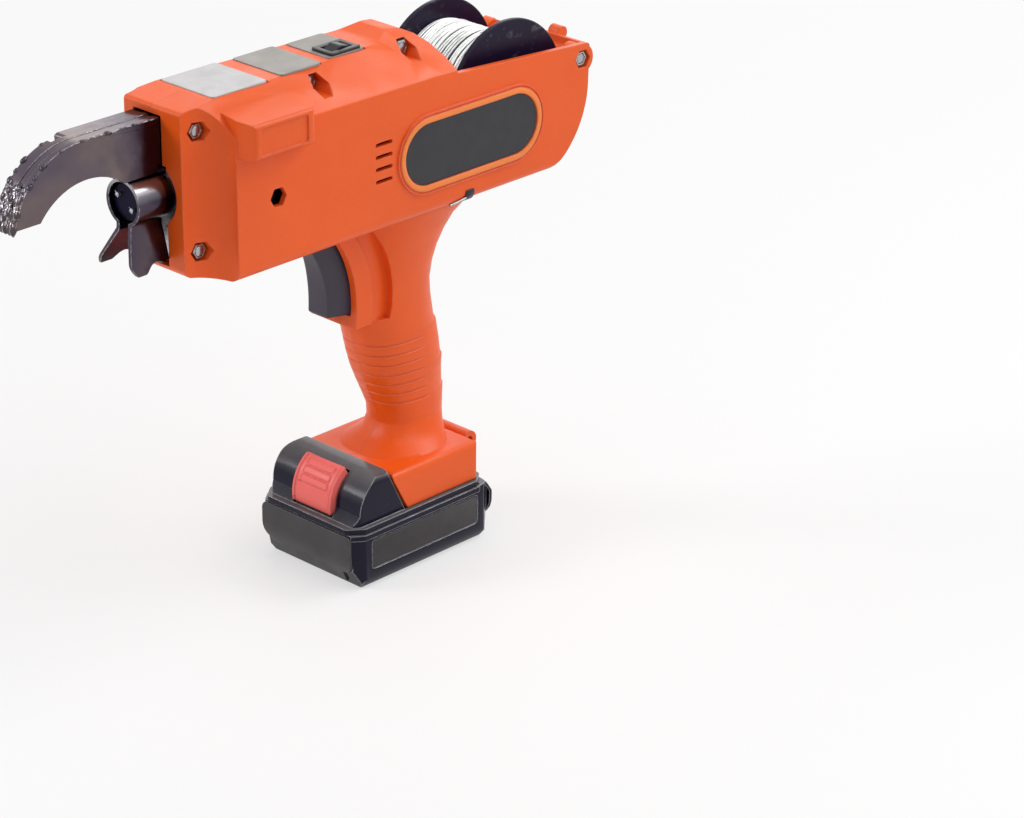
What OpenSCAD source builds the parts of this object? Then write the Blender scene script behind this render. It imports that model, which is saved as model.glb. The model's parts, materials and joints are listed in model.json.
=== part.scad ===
// Battery rebar tying tool: a pistol-grip casing with a steel curling jaw at the nose,
// an open bay with a wire spool at the tail and a slide-on battery under the handle.
// X points to the jaw, Y to the tool's left and Z up. The origin is the middle of the battery's base.

/* [Heights] */
// Height of the battery's lower shell
tray_h = 24.4; // [22.6:0.1:26]
// Thickness of the deck on the battery's upper shell
deck_h = 2.5; // [2:0.1:3.5]
// Height of the battery foot under the handle
foot_h = 16.6; // [16:0.1:19]
// Length of the handle between foot and body
handle_h = 106.8; // [100:0.5:116]
// Height of the body from belly to flat top
body_h = 69.2; // [67:0.1:73]

/* [Body] */
// Width across the main body
body_w = 56.8; // [55:0.2:62]
// Width of the flat top and of the nose
top_w = 31.2; // [30:0.2:33]
// Front face of the nose
nose_x = 112.5; // [111:0.5:116]
// Where the full width ends, behind the nose
shoulder_x = 97; // [95:0.5:98]
// Drop of the top at the nose
nose_dip = 1.8; // [1:0.1:3]
// Rise of the belly at the nose
nose_lift = 3; // [2:0.1:4]
// Wall thickness of the casing
wall = 2.4; // [2:0.1:2.6]
// Radius of the long lower edges
belly_r = 4.5; // [3:0.1:6]
// Radius of the small outer edges
edge_r = 1.6; // [1:0.1:2]
// Start of the ramp that rises to the crown
ramp_x = 8; // [7:0.5:12]
// Half width of the flat top at the crown
crown_half = 10.8; // [10:0.1:14]
// Height of the crown above the flat top
crown_h = 2.6; // [2:0.1:3.4]
// Radius of the rounded end of the crown
round_r = 16.6; // [16:0.1:17.4]
// Flat stretch of the crown ahead of its rounded end
crown_flat = 1.8; // [0.8:0.1:2]

/* [Side bump] */
// Outer face of the bump, measured out from the body's side
bump_out = 7.6; // [6.5:0.1:9]
// Front end of the bump at its outer face
bump_front_x = 93.9; // [93:0.1:94.5]
// Rear end of the bump at its outer face
bump_rear_x = 64.8; // [62:0.1:65]
// Height of the bump's outer face
bump_h = 13.8; // [13.4:0.1:15]
// Distance of the bump's upper edge below the flat top
bump_drop = 6.2; // [5.8:0.1:6.4]

/* [Spool] */
// Radius of the spool's flanges
spool_r = 31.5; // [30:0.1:32.5]
// Width over both flanges
spool_w = 40.4; // [38:0.2:42]
// Thickness of a flange
flange_t = 2.2; // [1.8:0.1:3]
// Radius of the hub that the wire is wound on
hub_r = 11; // [9:0.5:13]
// Radius of the axle
axle_r = 4; // [3:0.1:5]
// Outside radius of the wound wire
wound_r = 24.4; // [20:0.1:26]
// Diameter of the tie wire
wire_d = 0.85; // [0.7:0.01:0.88]
// Loops in the outer layer
wire_loops = 24; // [12:1:24]

/* [Handle] */
// Half length of the handle at the palm
palm_a = 18.9; // [18:0.1:20]
// Half width of the handle at the palm
palm_b = 15.2; // [14.8:0.1:16.5]
// How far the handle's neck lies behind the origin
handle_lean = 16.4; // [15:0.1:18]
// Depth of the grip lines
line_depth = 0.5; // [0.3:0.05:0.8]
// Width of a grip line
line_w = 0.9; // [0.6:0.05:1.2]
// Step of the ribs down the back of the handle
rib_step = 0.9; // [0.5:0.05:1.2]

/* [Trigger] */
// Width of the trigger
trigger_w = 18; // [16:0.2:19]
// Front of the trigger at its hollow
trigger_front_x = 31.2; // [30:0.2:33]
// Radius of the trigger's hollow
trigger_curve_r = 50; // [45:1:60]
// Length of trigger that shows ahead of its collar
trigger_show = 9; // [8.4:0.1:10]
// Height of the trigger
trigger_h = 38.4; // [36:0.2:39]
// Travel of the trigger
trigger_travel = 5; // [4:0.5:6]
// Width of the collar round the trigger
collar_w = 25.4; // [24.4:0.2:26.4]

/* [Jaw] */
// Centre of the hook's outer curve
hook_x = 149.6; // [147:0.2:152]
// Radius of the hook's outer curve
hook_r = 32.6; // [31:0.1:34]
// Radius of the hook's inner curve
hook_inner_r = 28; // [26.5:0.1:28.5]
// Thickness of the whole hook
hook_t = 9; // [8:0.1:9.4]
// Thickness of the core between the plates
core_t = 3; // [2.4:0.1:4]
// Depth of the wire track between the plates
track_depth = 2.2; // [1.5:0.1:3]
// Width of the guide block beside the arm
guide_t = 5.5; // [4:0.1:5.8]
// Front end of the guide block
guide_front_x = 150.5; // [145:0.5:152]

/* [Wire funnel] */
// Outer radius of the funnel's tube
funnel_r = 9.4; // [8.9:0.1:10.2]
// Thickness of the funnel's sheet
sheet_t = 1.4; // [1:0.1:1.6]
// Length of the tube ahead of the nose
funnel_out = 15.5; // [13:0.1:18]
// Width of the gap between the funnel's legs
neck_w = 5; // [4.8:0.1:6]
// Height of the axis of the twisting head above the belly
axis_rise = 33.1; // [32.8:0.1:33.4]

/* [Drive] */
// Module of the twist gears
gear_module = 0.8; // [0.76:0.01:0.8]
// Teeth of the gear on the twist shaft
gear_teeth = 36; // [30:1:36]
// Teeth of the motor's pinion
pinion_teeth = 12; // [10:1:14]
// Width of the gears
gear_w = 6; // [4:0.5:7]
// Radius of the twist motor
motor_r = 11; // [9:0.1:11.1]
// Length of the twist motor
motor_l = 55; // [45:1:57]
// Radius of the twist shaft
shaft_r = 4; // [3:0.1:4.6]
// Radius of the feed wheel
feed_r = 14.6; // [13.5:0.1:15]
// Radius of the idler wheel
idler_r = 6.6; // [5:0.1:8]
// Height of the wire's path below the flat top
wire_drop = 14; // [13.7:0.1:14.4]

/* [Battery] */
// Front of the battery
tray_front_x = 40.5; // [40.2:0.1:42]
// Room and wall at each end of the battery's cells
tray_end = 8.45; // [8:0.05:9.5]
// Width of the battery
tray_w = 57.5; // [57:0.1:62]
// Length of a cell
cell_l = 64.5; // [60:0.1:65]
// Diameter of a cell
cell_d = 18; // [17:0.1:18.1]
// Width of the foot
foot_w = 52.3; // [51:0.1:55]
// Radius of the battery's rounded front
hump_r = 15; // [14.6:0.1:15.8]
// Width of the release button
button_w = 22.4; // [18:0.2:23]
// Travel of the release button
button_travel = 2.5; // [2:0.1:2.6]
// Width of the battery's rail plate
rail_w = 43.8; // [42:0.2:44.6]
// Width of the neck under the rail plate
rail_neck_w = 35.8; // [34:0.2:37]

/* [Switch and plates] */
// Length of the rocker switch bezel
bezel_l = 15.2; // [14:0.1:16]
// Width of the rocker switch bezel
bezel_w = 11.5; // [10.5:0.1:12]
// Tilt of the rocker at rest
rocker_tilt = 8; // [4:1:10]
// Length of the oval plate
oval_l = 73; // [66:0.5:74]
// Height of the oval plate
oval_h = 24.8; // [22:0.2:26]

/* [Hidden] */
$fn = 48;
// Extra length of every cut past the face that it opens
over = 1;
// Gap of a running fit
run_gap = 0.06;
// Gap between pieces that sit together
seat_gap = 0.2;
// Gap round pieces that slide
slide_gap = 0.4;
// Number of straight steps in a rounded corner
arc_steps = 5;

// Heights that follow from the stack of pieces
deck_z = tray_h + deck_h;
foot_z = deck_z + slide_gap;
foot_top_z = foot_z + foot_h;
belly_z = foot_top_z + handle_h;
top_z = belly_z + body_h;
crown_z = top_z + crown_h;
axis_z = belly_z + axis_rise;
wire_z = top_z - wire_drop;

// Body
half_w = body_w / 2;
top_half = top_w / 2;
bevel_z = top_z - (half_w - top_half);
crown_x = 0;
bay_x = crown_x - crown_flat - round_r;
kink_drop = 0.5;
nose_corner_r = 4;
long_blend_r = 12;
scoop_r = half_w - top_half;
scoop_x = shoulder_x + scoop_r;
inner_half = half_w - wall;
nose_half = top_half - wall;

// Spool and bay
bay_gap = 4.6;
floor_gap = 0.5;
spool_x = bay_x - bay_gap - spool_r;
spool_z = belly_z + wall + floor_gap + spool_r;
bay_r = spool_r + bay_gap + wall;
tail_lean = 0.6;
tail_x = spool_x - bay_r - tail_lean;
tail_rise = 15.2;
tail_z = spool_z + tail_rise;
bay_arc_steps = 12;
spool_half = spool_w / 2;
axle_boss_r = 7;
far_drop = 5.5;
far_corner_w = 13;
lug_r = 2.8;
lug_y = 6.2;
lug_w = 5.4;
lug_out = 1.8;
lug_up = -0.4;

// Screws: places on the body, with the depth of the nut's seat from the middle
screw_r = 2;
screw_gap = 0.1;
screw_head_r = 3.5;
head_h = 2.6;
head_gap = 0.4;
nut_af = 7;
nut_h = 3.2;
nut_gap = 0.3;
boss_r = 5.6;
tail_boss_r = 6;
tail_boss_in = 4;
tail_column_r = 3.6;
nose_screw_back = 7.5;
nose_screw_down = 10;
nose_screw_up = 12;
deck_screw_x = 46.7;
deck_screw_down = 5.6;
crown_screw_back = 3.5;
crown_screw_down = 7;
nose_seat_in = 3;
nose_seat = top_half - nose_seat_in;
bevel_seat = 11.6;
crown_seat = 9.6;
tail_seat_in = 4.2;
tail_seat = half_w - tail_seat_in;
// Each row: x, z, seat depth, start of the left and right boss, boss radius
SCREWS = [
    [nose_x - nose_screw_back, top_z - nose_screw_down, nose_seat, hook_t / 2 + seat_gap,
     hook_t / 2 + guide_t + seat_gap, boss_r],
    [nose_x - nose_screw_back, belly_z + nose_screw_up, nose_seat, nose_seat - 1.6 * seat_gap,
     nose_seat - 1.6 * seat_gap, boss_r],
    [deck_screw_x, top_z - deck_screw_down, bevel_seat, 0, 0, boss_r],
    [crown_x - crown_screw_back, crown_z - crown_screw_down, crown_seat, 0, 0, boss_r],
    [tail_x + tail_boss_in, spool_z + tail_rise - tail_boss_r - seat_gap, tail_seat, 0, 0, tail_column_r]
];

// Bump
bump_half = half_w + bump_out;
bump_top_z = top_z - bump_drop;
bump_low_z = bump_top_z - bump_h;
bump_draft = 2.3;
bump_rear_slope = 7;
bump_front_slope = 2.4;
bump_root = 3;
bump_in_y = top_half + bump_root;
bump_r = 2;
panel_margin = 1.2;
panel_depth = 0.7;
bump_wall = 2;

// Side openings
vent_count = 4;
vent_l = 8.9;
vent_h = 1.7;
vent_pitch = 5;
vent_x = 21.6;
vent_low = 21.1;
hex_hole_x = 76.4;
hex_hole_low = 29;
hex_hole_af = 7.2;
rim_w = 4;
rim_out = 0.8;
rim_line_w = 0.6;
plate_t = 1;
plate_sink = 0.6;
oval_x = -25.9;
oval_low = 25.9;

// Plates on the top
window_x = [68, 95.5];
window_w = 29.4;
label_x = [39.7, 60.6];
label_w = 27.6;
switch_plate_x = [15.5, 34.5];
switch_plate_w = 24;
switch_x = 25.2;
switch_side = 0.5;
switch_y = bezel_w / 2 + switch_side;
switch_depth = 10;
bezel_t = 1.2;
bezel_frame = 1.4;
rocker_rise = 3.6;
rocker_deep = 5;
rocker_pin_r = 0.9;
rocker_gap = 0.5;

// Front opening of the nose
mouth_gap = 2.9;
mouth_r = funnel_r + mouth_gap;
mouth_half = 6.9;

// Handle: height, lean, length and width of each section as shares of its sizes
handle_shares = [
    [-0.01, 0.52, 1.11, 1.46], [0.01, 0.61, 1.07, 1.3], [0.03, 0.76, 0.98, 1.1], [0.06, 0.9, 0.89, 0.92],
    [0.1, 0.96, 0.85, 0.85], [0.153, 0.95, 0.855, 0.85], [0.21, 0.86, 0.92, 0.88], [0.27, 0.75, 0.975, 0.93],
    [0.33, 0.66, 1.035, 0.98], [0.4, 0.55, 1.058, 1], [0.51, 0.38, 1.058, 1], [0.6, 0.29, 1.05, 1],
    [0.67, 0.28, 1.03, 1.01], [0.74, 0.33, 1.053, 1.05], [0.8, 0.396, 1.11, 1.12],
    [0.865, 0.488, 1.217, 1.24],
    [0.93, 0.61, 1.376, 1.4], [0.965, 0.747, 1.548, 1.5], [0.99, 0.915, 1.746, 1.6], [1.012, 0.976, 1.8, 1.64]
];
// Heights of the grip lines and of the ribs on the back, as shares of the handle
line_shares = [0.196, 0.24, 0.283, 0.327, 0.371, 0.414, 0.458];
rib_shares = [0.1, 0.202, 0.33, 0.485];
// Exponent of the handle's oval section
oval_power = 2.4;
// Steps round the outside of half the handle, twice those inside
ring_steps = 16;
// Angle from the front to which the grip lines run
line_reach = 100;

// Trigger
trigger_drop = 2;
trigger_top_z = belly_z - trigger_drop;
trigger_low_z = trigger_top_z - trigger_h;
hollow_up = 5.2;
trigger_mid_z = trigger_low_z + hollow_up;
trigger_l = 23.2;
trigger_back_x = trigger_front_x - trigger_l;
trigger_side_x = trigger_front_x - trigger_show;
trigger_taper = 0.35;
collar_low = 5;
fold_back = 9;
fold_l = 9;
fold_half = 10.9;
collar_back_x = 0;
pocket_room = 4.4;
pocket_back_x = trigger_back_x - trigger_travel - pocket_room;
switch_box = [14, 18, 24];
switch_box_x = pocket_back_x - slide_gap;
switch_box_up = 2;
switch_box_z = trigger_mid_z + switch_box_up;
switch_rib = 2;
spring_r = 3;
spring_wire = 0.8;
spring_up = 14;
spring_z = trigger_mid_z + spring_up;
spring_pin_r = 1.8;

// Jaw
jaw_in = 14.2;
jaw_back_x = nose_x - jaw_in;
arm_gap = 1.2;
arm_top_z = top_z - nose_dip - wall - arm_gap;
hook_z = arm_top_z - hook_r;
hook_tip_up = 4.6;
hook_tip_z = axis_z + hook_tip_up;
inner_back = 2.1;
hook_inner_x = hook_x - inner_back;
inner_drop = 12.5;
hook_inner_z = axis_z - inner_drop;
jaw_up = 9.4;
jaw_low_z = axis_z + jaw_up;
core_edge = 0.3;
cheek_t = 2.4;
cheek_ahead = 6.6;
cheek_x = hook_x + cheek_ahead;
guide_low_up = 17.5;
guide_low_z = axis_z + guide_low_up;
guide_down = 0.2;
frame_half = nose_seat - 2 * seat_gap;
frame_back_x = jaw_back_x;
frame_front_x = nose_x - wall - seat_gap;
frame_up = 7.2;
frame_low_z = belly_z + frame_up;
bearing_r = 8;
bearing_l = 7;
cutter_t = 3;
cutter_ahead = 5.5;
cutter_x = jaw_back_x + cutter_ahead;
cutter_up = 15;
cutter_z = axis_z + cutter_up;
cutter_l = 7;
cutter_h = 6;
cutter_pin_r = 1.5;

// Funnel
funnel_x = frame_front_x + seat_gap / 2;
funnel_front_x = nose_x + funnel_out;
leg_drop = 27;
leg_low_z = axis_z - leg_drop;
near_foot_y = 8.6;
far_foot_y = 13.4;
far_foot_up = 0.4;
neck_drop = 0.6;
neck_z = axis_z - funnel_r - neck_drop;
foot_reach = 3.4;
foot_corner_r = 4;

// Twisting head and drive
twist_gap = 0.7;
head_r = funnel_r - sheet_t - twist_gap;
head_out = 7;
head_back_x = nose_x + head_out;
head_in = 2;
head_front_x = funnel_front_x - head_in;
stud_r = 0.9;
stud_out = 1.5;
stud_at = 4.5;
stud_turn = 150;
socket_l = 3;
gear_gap = gear_module * (gear_teeth + pinion_teeth) / 2;
motor_z = axis_z - gear_gap;
plate_w = 2.6;
gear_back_x = 43;
gear_side_gap = 1.2;
gear_x = gear_back_x + plate_w + gear_side_gap;
gear_front_x = gear_x + gear_w + gear_side_gap;
gear_plate_edge = 5;
gear_plate_top = axis_z + gear_module * gear_teeth / 2 + gear_plate_edge;
gear_plate_fit = wall + seat_gap;
motor_shaft_r = 1.6;
motor_shaft_in = 10;
motor_boss_r = 4;
motor_boss_h = plate_w;
tooth_add = 0.9;
tooth_ded = 1.25;
tooth_root_share = 0.34;
tooth_pitch_share = 0.22;
tooth_tip_share = 0.1;

// Wire feed
feed_x = 79;
wire_r = wire_d / 2;
feed_y = feed_r + wire_r;
idler_y = -(idler_r + wire_r);
wheel_h = 6;
groove_depth = 0.5;
feed_motor_r = 9.4;
feed_motor_l = 32;
bracket_t = 2.4;
bracket_drop = 2.6;
bracket_top_z = wire_z - wheel_h / 2 - bracket_drop;
bracket_l = 29;
bracket_back = 15;
bracket_back_x = feed_x - bracket_back;
bracket_right = 17;
feed_shaft_r = 1.5;
feed_shaft_in = 6;
idler_axle_r = 2;
axle_head_r = 3.4;
axle_head_h = 1;
guide_tube_r = 2;
guide_bore_r = 0.8;
tube_back = 18;
guide_tube_end = feed_x - tube_back;

// Circuit board
board = [46, 1.6, 22];
board_x = -8;
board_low = 28;
chip = [10, 3, 8];

// Battery foot
foot_rear_x = -33;
foot_front_low_x = 8;
foot_front_top_x = 16.9;
foot_edge_r = 3;
foot_roof = 3.8;
roof_z = foot_top_z - foot_roof;
rail_t = 4;
rail_top_z = roof_z - slide_gap;
rail_low_z = rail_top_z - rail_t;
foot_slot_x = foot_rear_x + wall;
rail_in = 9.4;
rail_back_x = foot_slot_x + rail_in;
hatch = [24, 18];
hatch_x = -8;
eye_r = 4;
eye_out = 3;
eye_x = foot_rear_x - eye_out;
eye_z = foot_top_z - eye_r;
eye_hole_r = 1.7;
eye_half = 17.5;

// Battery
tray_l = cell_l + 2 * tray_end;
tray_back_x = tray_front_x - tray_l;
tray_mid_x = (tray_front_x + tray_back_x) / 2;
tray_half_w = tray_w / 2;
tray_corner = 6.2;
tray_corner_w = 4.8;
tray_corner_r = 2.5;
tray_taper = 6;
tray_taper_h = 12;
tray_taper_r = 16;
tray_shoulder = 4;
tray_shoulder_h = 6;
tray_side_taper = 3.6;
tray_side_taper_h = 5;
tray_floor = 3.4;
cell_gap = 0.1;
cell_pitch = cell_d + cell_gap;
cell_z = tray_floor + cell_d / 2 + seat_gap;
cell_back_x = tray_back_x + tray_end;
rim_step = 0.8;
rim_h = 2.4;
side_panel_l = 60;
side_panel_h = 12.8;
side_panel_deep = 0.6;
side_panel_low = 7.8;
front_panel_w = 51.4;
front_panel_t = 1.4;
front_panel_low = 6.2;
front_panel_r = 7;
front_panel_top_r = 3;
front_panel_foot_z = 1.2;
hump_top = 19.5;
hump_z = deck_z + hump_top - hump_r;
hump_back = 6.4;
hump_in = 0.4;
hump_flare = 2.6;
hump_x = tray_front_x - hump_back - hump_r;
hump_half = foot_w / 2 - hump_in;
hump_edge_r = 4;
button_out = 2.4;
button_t = 4.4;
button_low_a = -10;
button_high_a = 59;
button_bar_angles = [25, 37, 49];
button_bar_a = 9;
button_bar_out = 0.6;
button_frame_w = 1.3;
button_gap_a = 2;
press_a = 45;
press_steps = 4;
button_arm_half = 4;
button_arm_h = 1.7;
tooth_l = 4;
tooth_up = 1.8;
tooth_in = 2;
tooth_x = foot_front_low_x + tooth_in;
groove_h = tooth_up + slide_gap;
button_face_r = hump_r + button_out;
button_rim_r = button_face_r + button_bar_out;
button_in_r = button_face_r - button_t;
button_mid_r = (button_face_r + button_in_r) / 2;
arm_end_x = hump_x + sqrt(pow(button_mid_r, 2) - pow(rail_top_z - hump_z, 2));
press_dir = [-sqrt(0.5), 0, -sqrt(0.5)];
clip_t = 0.8;
clip_slot = 2;
clip_pitch = 12;
clip_l = 9;
clip_h = 2.6;
contact_block = [7.4, 32, 3.2];
rail_screw_r = 3;
rail_screw_deep = 0.8;
latch_spring_r = 2.4;
latch_spring_wire = 0.6;
latch_spring_turn = 14;
latch_pocket = 3;
latch_seat_r = button_in_r - button_travel * cos(press_a - latch_spring_turn) - latch_pocket;
button_slot_r = button_in_r - button_travel - slide_gap;

casing_colour = "#e8642f";
steel_colour = "#4c484c";
bright_colour = "#b9bcc0";
black_colour = "#26262a";
slate_colour = "#4a4d52";

// Extrudes a shape drawn in X and Z from y0 to y1
module along_y(y0, y1) {
    translate([0, y1, 0]) rotate([90, 0, 0]) linear_extrude(height = y1 - y0) children();
}

// Extrudes a shape drawn in Y and Z from x0 to x1
module along_x(x0, x1) {
    translate([x0, 0, 0]) rotate([90, 0, 90]) linear_extrude(height = x1 - x0) children();
}

// Extrudes a shape drawn in X and Y from z0 to z1
module along_z(z0, z1) {
    translate([0, 0, z0]) linear_extrude(height = z1 - z0) children();
}

module rod_x(y, z, r, x0, x1) {
    translate([x0, y, z]) rotate([0, 90, 0]) cylinder(r = r, h = x1 - x0);
}

module rod_y(x, z, r, y0, y1) {
    translate([x, y1, z]) rotate([90, 0, 0]) cylinder(r = r, h = y1 - y0);
}

module rod_z(x, y, r, z0, z1) {
    translate([x, y, z0]) cylinder(r = r, h = z1 - z0);
}

module box(x0, x1, y0, y1, z0, z1) {
    translate([x0, y0, z0]) cube([x1 - x0, y1 - y0, z1 - z0]);
}

function unit(v) = v / norm(v);
function turned(v, a) = [v[0] * cos(a) - v[1] * sin(a), v[0] * sin(a) + v[1] * cos(a)];

// Arc of radius r that rounds the corner b between a and c
function corner_arc(a, b, c, r) =
    let (u = unit(a - b), w = unit(c - b), half = acos(u * w) / 2,
         middle = b + unit(u + w) * r / sin(half), first = b + u * r / tan(half) - middle,
         way = sign(cross(b - a, c - b)))
    [for (k = [0 : arc_steps]) middle + turned(first, way * (180 - 2 * half) * k / arc_steps)];

function flat(p) = [p[0], p[1]];

// Outline through points of the form [x, y, corner radius]
function rounded(p) = [
    for (i = [0 : len(p) - 1])
        let (a = flat(p[(i + len(p) - 1) % len(p)]), b = flat(p[i]), c = flat(p[(i + 1) % len(p)]))
            each (p[i][2] == 0 ? [b] : corner_arc(a, b, c, p[i][2]))
];

module round_rect(w, h, r) {
    polygon(rounded([[-w / 2, -h / 2, r], [w / 2, -h / 2, r], [w / 2, h / 2, r], [-w / 2, h / 2, r]]));
}

// A bar with round ends, w long and h high
module stadium(w, h) {
    square([w - h, h], center = true);
    for (s = [-1, 1]) translate([s * (w - h) / 2, 0]) circle(d = h);
}

module hexagon(af) {
    circle(d = af / cos(30), $fn = 6);
}

// Outline of the body from the side, t inside the outer face
module body_side(t) {
    polygon(concat(
        rounded([
            [spool_x, belly_z + t, 0],
            [shoulder_x, belly_z + t, long_blend_r],
            [nose_x - t, belly_z + nose_lift + t, nose_corner_r - t],
            [nose_x - t, top_z - nose_dip - t, edge_r],
            [shoulder_x, top_z - t, long_blend_r],
            [ramp_x, top_z - t, long_blend_r],
            [crown_x, crown_z - t, edge_r],
            [bay_x + t, crown_z - t, round_r - t],
            [bay_x + t, crown_z - round_r - kink_drop, 0],
            [tail_x + t, tail_z, edge_r],
            [tail_x + tail_lean + t, spool_z, 0]
        ]),
        bay_arc(bay_r - t, belly_z + t)
    ));
}

// Rear lower arc of the body round the spool, from the tail down to height z
function bay_arc(r, z) =
    let (reach = asin((spool_z - z) / r))
    [for (k = [1 : bay_arc_steps]) let (a = 180 + reach * k / bay_arc_steps)
        [spool_x + r * cos(a), spool_z + r * sin(a)]];

// Front space of the body from the side, up to the wall of the spool bay
module room_side(t) {
    polygon(rounded([
        [bay_x + t, belly_z + t, 0],
        [shoulder_x, belly_z + t, long_blend_r],
        [nose_x - t, belly_z + nose_lift + t, nose_corner_r - t],
        [nose_x - t, top_z - nose_dip - t, 0],
        [shoulder_x, top_z - t, long_blend_r],
        [ramp_x, top_z - t, long_blend_r],
        [crown_x, crown_z - t, 0],
        [bay_x + t, crown_z - t, round_r - t]
    ]));
}

// Space of the spool bay from the side, open at the top
module bay_side(t) {
    polygon(concat(
        [[bay_x, belly_z + t], [bay_x, crown_z + over], [tail_x + tail_lean + t, crown_z + over],
         [tail_x + tail_lean + t, spool_z]],
        bay_arc(bay_r - t, belly_z + t)
    ));
}

// Left half of the body's cross-section, t inside the outer face and open to y0
module body_section(t, y0) {
    hw = half_w - t;
    slope = half_w + bevel_z - t * sqrt(2);
    top = crown_z - t;
    polygon(rounded([
        [y0, belly_z + t, 0],
        [hw, belly_z + t, belly_r - t],
        [hw, slope - hw, edge_r],
        [slope - top, top, 0],
        [y0, top, 0]
    ]));
}

// Left half of the body from above, t inside the outer face
module body_plan(t, y0) {
    difference() {
        polygon([[tail_x - tail_boss_r, y0], [nose_x - t, y0], [nose_x - t, half_w - t],
                 [tail_x - tail_boss_r, half_w - t]]);
        translate([scoop_x, half_w]) circle(r = scoop_r + t);
        translate([scoop_x, top_half - t]) square([nose_x - scoop_x + over, half_w - top_half + t + over]);
    }
}

// Wedge that narrows the top towards the crown, t inside the outer face
module rear_bevel(t) {
    fall = (top_z - bevel_z) / (half_w - crown_half);
    drop = t * sqrt(1 + fall * fall);
    translate([crown_x, crown_half, top_z - drop])
        rotate([0, 0, atan2(top_half - crown_half, shoulder_x - crown_x)])
            along_x(2 * tail_x, 2 * nose_x) polygon([
                [-half_w, half_w * fall], [body_w, -body_w * fall], [body_w, body_h], [-half_w, body_h]]);
}

// Left half of the closed body
module body_block() {
    difference() {
        body_prism();
        rear_bevel(0);
    }
}

module body_prism() {
    intersection() {
        along_y(0, half_w) body_side(0);
        along_x(tail_x - tail_boss_r, nose_x + over) body_section(0, 0);
        along_z(0, crown_z + over) body_plan(0, 0);
    }
}

// Space inside the front of the body
module room_block() {
    intersection() {
        along_y(-over, inner_half) room_side(wall);
        along_x(bay_x, nose_x) body_section(wall, -over);
        along_z(0, crown_z) body_plan(wall, -over);
        difference() {
            box(bay_x, nose_x, -over, half_w, belly_z, crown_z);
            rear_bevel(wall);
        }
    }
}

// Space of the spool bay
module bay_block() {
    intersection() {
        along_y(-over, inner_half) bay_side(wall);
        along_x(tail_x, bay_x + over) polygon(rounded([
            [-over, belly_z + wall, 0], [inner_half, belly_z + wall, belly_r - wall],
            [inner_half, crown_z + 2 * over, 0], [-over, crown_z + 2 * over, 0]]));
    }
}

// Block of the side bump, t inside its outer face
module bump_block(t) {
    intersection() {
        along_z(belly_z, top_z) polygon(rounded([
            [bump_rear_x - bump_rear_slope + t, 0, 0],
            [bump_front_x + bump_front_slope - t, 0, 0],
            [bump_front_x + bump_front_slope - t, half_w, 0],
            [bump_front_x - t, bump_half - t, bump_r],
            [bump_rear_x + t, bump_half - t, bump_r],
            [bump_rear_x - bump_rear_slope + t, half_w, 0]]));
        along_x(bump_rear_x - bump_rear_slope, bump_front_x + bump_front_slope) polygon(rounded([
            [bump_in_y - t, bump_low_z + t, 0],
            [bump_half - t, bump_low_z + t, bump_r],
            [bump_half - t, bump_top_z - t, bump_r],
            [bump_in_y - t, bump_top_z + bump_draft - t, 0]]));
    }
}

// Handle section at share h of its height: [x of the middle, half length, half width]
function handle_at(h) = [
    -handle_lean * lookup(h, [for (s = handle_shares) [s[0], s[1]]]),
    palm_a * lookup(h, [for (s = handle_shares) [s[0], s[2]]]),
    palm_b * lookup(h, [for (s = handle_shares) [s[0], s[3]]])
];

function line_half() = line_w / handle_h / 2;
function near_line(h) = len([for (s = line_shares) if (abs(h - s) < line_half() / 2) s]) > 0;

// Swell of the back at share h: each rib stands proud at its top
function rib_swell(h) =
    let (n = len(rib_shares) - 1)
    h <= rib_shares[0] || h > rib_shares[n] ? 0 :
    max([for (i = [0 : n - 1]) h > rib_shares[i] && h <= rib_shares[i + 1] ?
        rib_step * (h - rib_shares[i]) / (rib_shares[i + 1] - rib_shares[i]) : 0]);

function sorted(v) = len(v) < 2 ? v :
    let (p = v[0]) concat(sorted([for (x = v) if (x < p) x]), [p], sorted([for (x = v) if (x > p) x]));

// Heights of all sections, with those of the grip lines and ribs
handle_levels = sorted(concat(
    [for (s = handle_shares) s[0]],
    [for (s = line_shares) each [s - line_half(), s, s + line_half()]],
    [for (s = rib_shares) each [s, s + line_half()]]
));

function oval_point(a, b, t) = [
    a * sign(cos(t)) * pow(abs(cos(t)), 2 / oval_power),
    b * pow(abs(sin(t)), 2 / oval_power)
];

// One closed section of the left half: the outside, then the inside back to the front
function handle_ring(h) =
    let (s = handle_at(h), z = foot_top_z + h * handle_h,
         cut = near_line(h) ? line_depth : 0, swell = rib_swell(h))
    concat(
        [for (k = [0 : ring_steps])
            let (t = 180 * k / ring_steps, d = t <= line_reach ? -cut : t > 120 ? swell : 0,
                 p = oval_point(s[1] + d, s[2] + (t <= line_reach ? -cut : 0), t))
                [s[0] + p[0], p[1], z]],
        [for (k = [ring_steps / 2 : -1 : 0])
            let (p = oval_point(s[1] - wall, s[2] - wall, 360 * k / ring_steps)) [s[0] + p[0], p[1], z]]
    );

ring_n = ring_steps + 1 + ring_steps / 2 + 1;

// Triangles of the half shell's flat end, for the section from point f
function end_faces(f, up) =
    let (tris = [for (k = [0 : ring_steps / 2 - 1])
            let (o = f + 2 * k, i = f + ring_n - 1 - k)
            each [[o, o + 1, i], [o + 1, o + 2, i - 1], [o + 1, i - 1, i]]])
    up ? tris : [for (t = tris) [t[2], t[1], t[0]]];

// Lofted left half of the hollow handle
module handle_half() {
    levels = len(handle_levels);
    points = [for (h = handle_levels) each handle_ring(h)];
    sides = [for (l = [0 : levels - 2], k = [0 : ring_n - 1])
        let (a = l * ring_n + k, b = l * ring_n + (k + 1) % ring_n)
        each [[a, b + ring_n, b], [a, a + ring_n, b + ring_n]]];
    polyhedron(points, concat(sides, end_faces(0, true), end_faces((levels - 1) * ring_n, false)));
}

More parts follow.
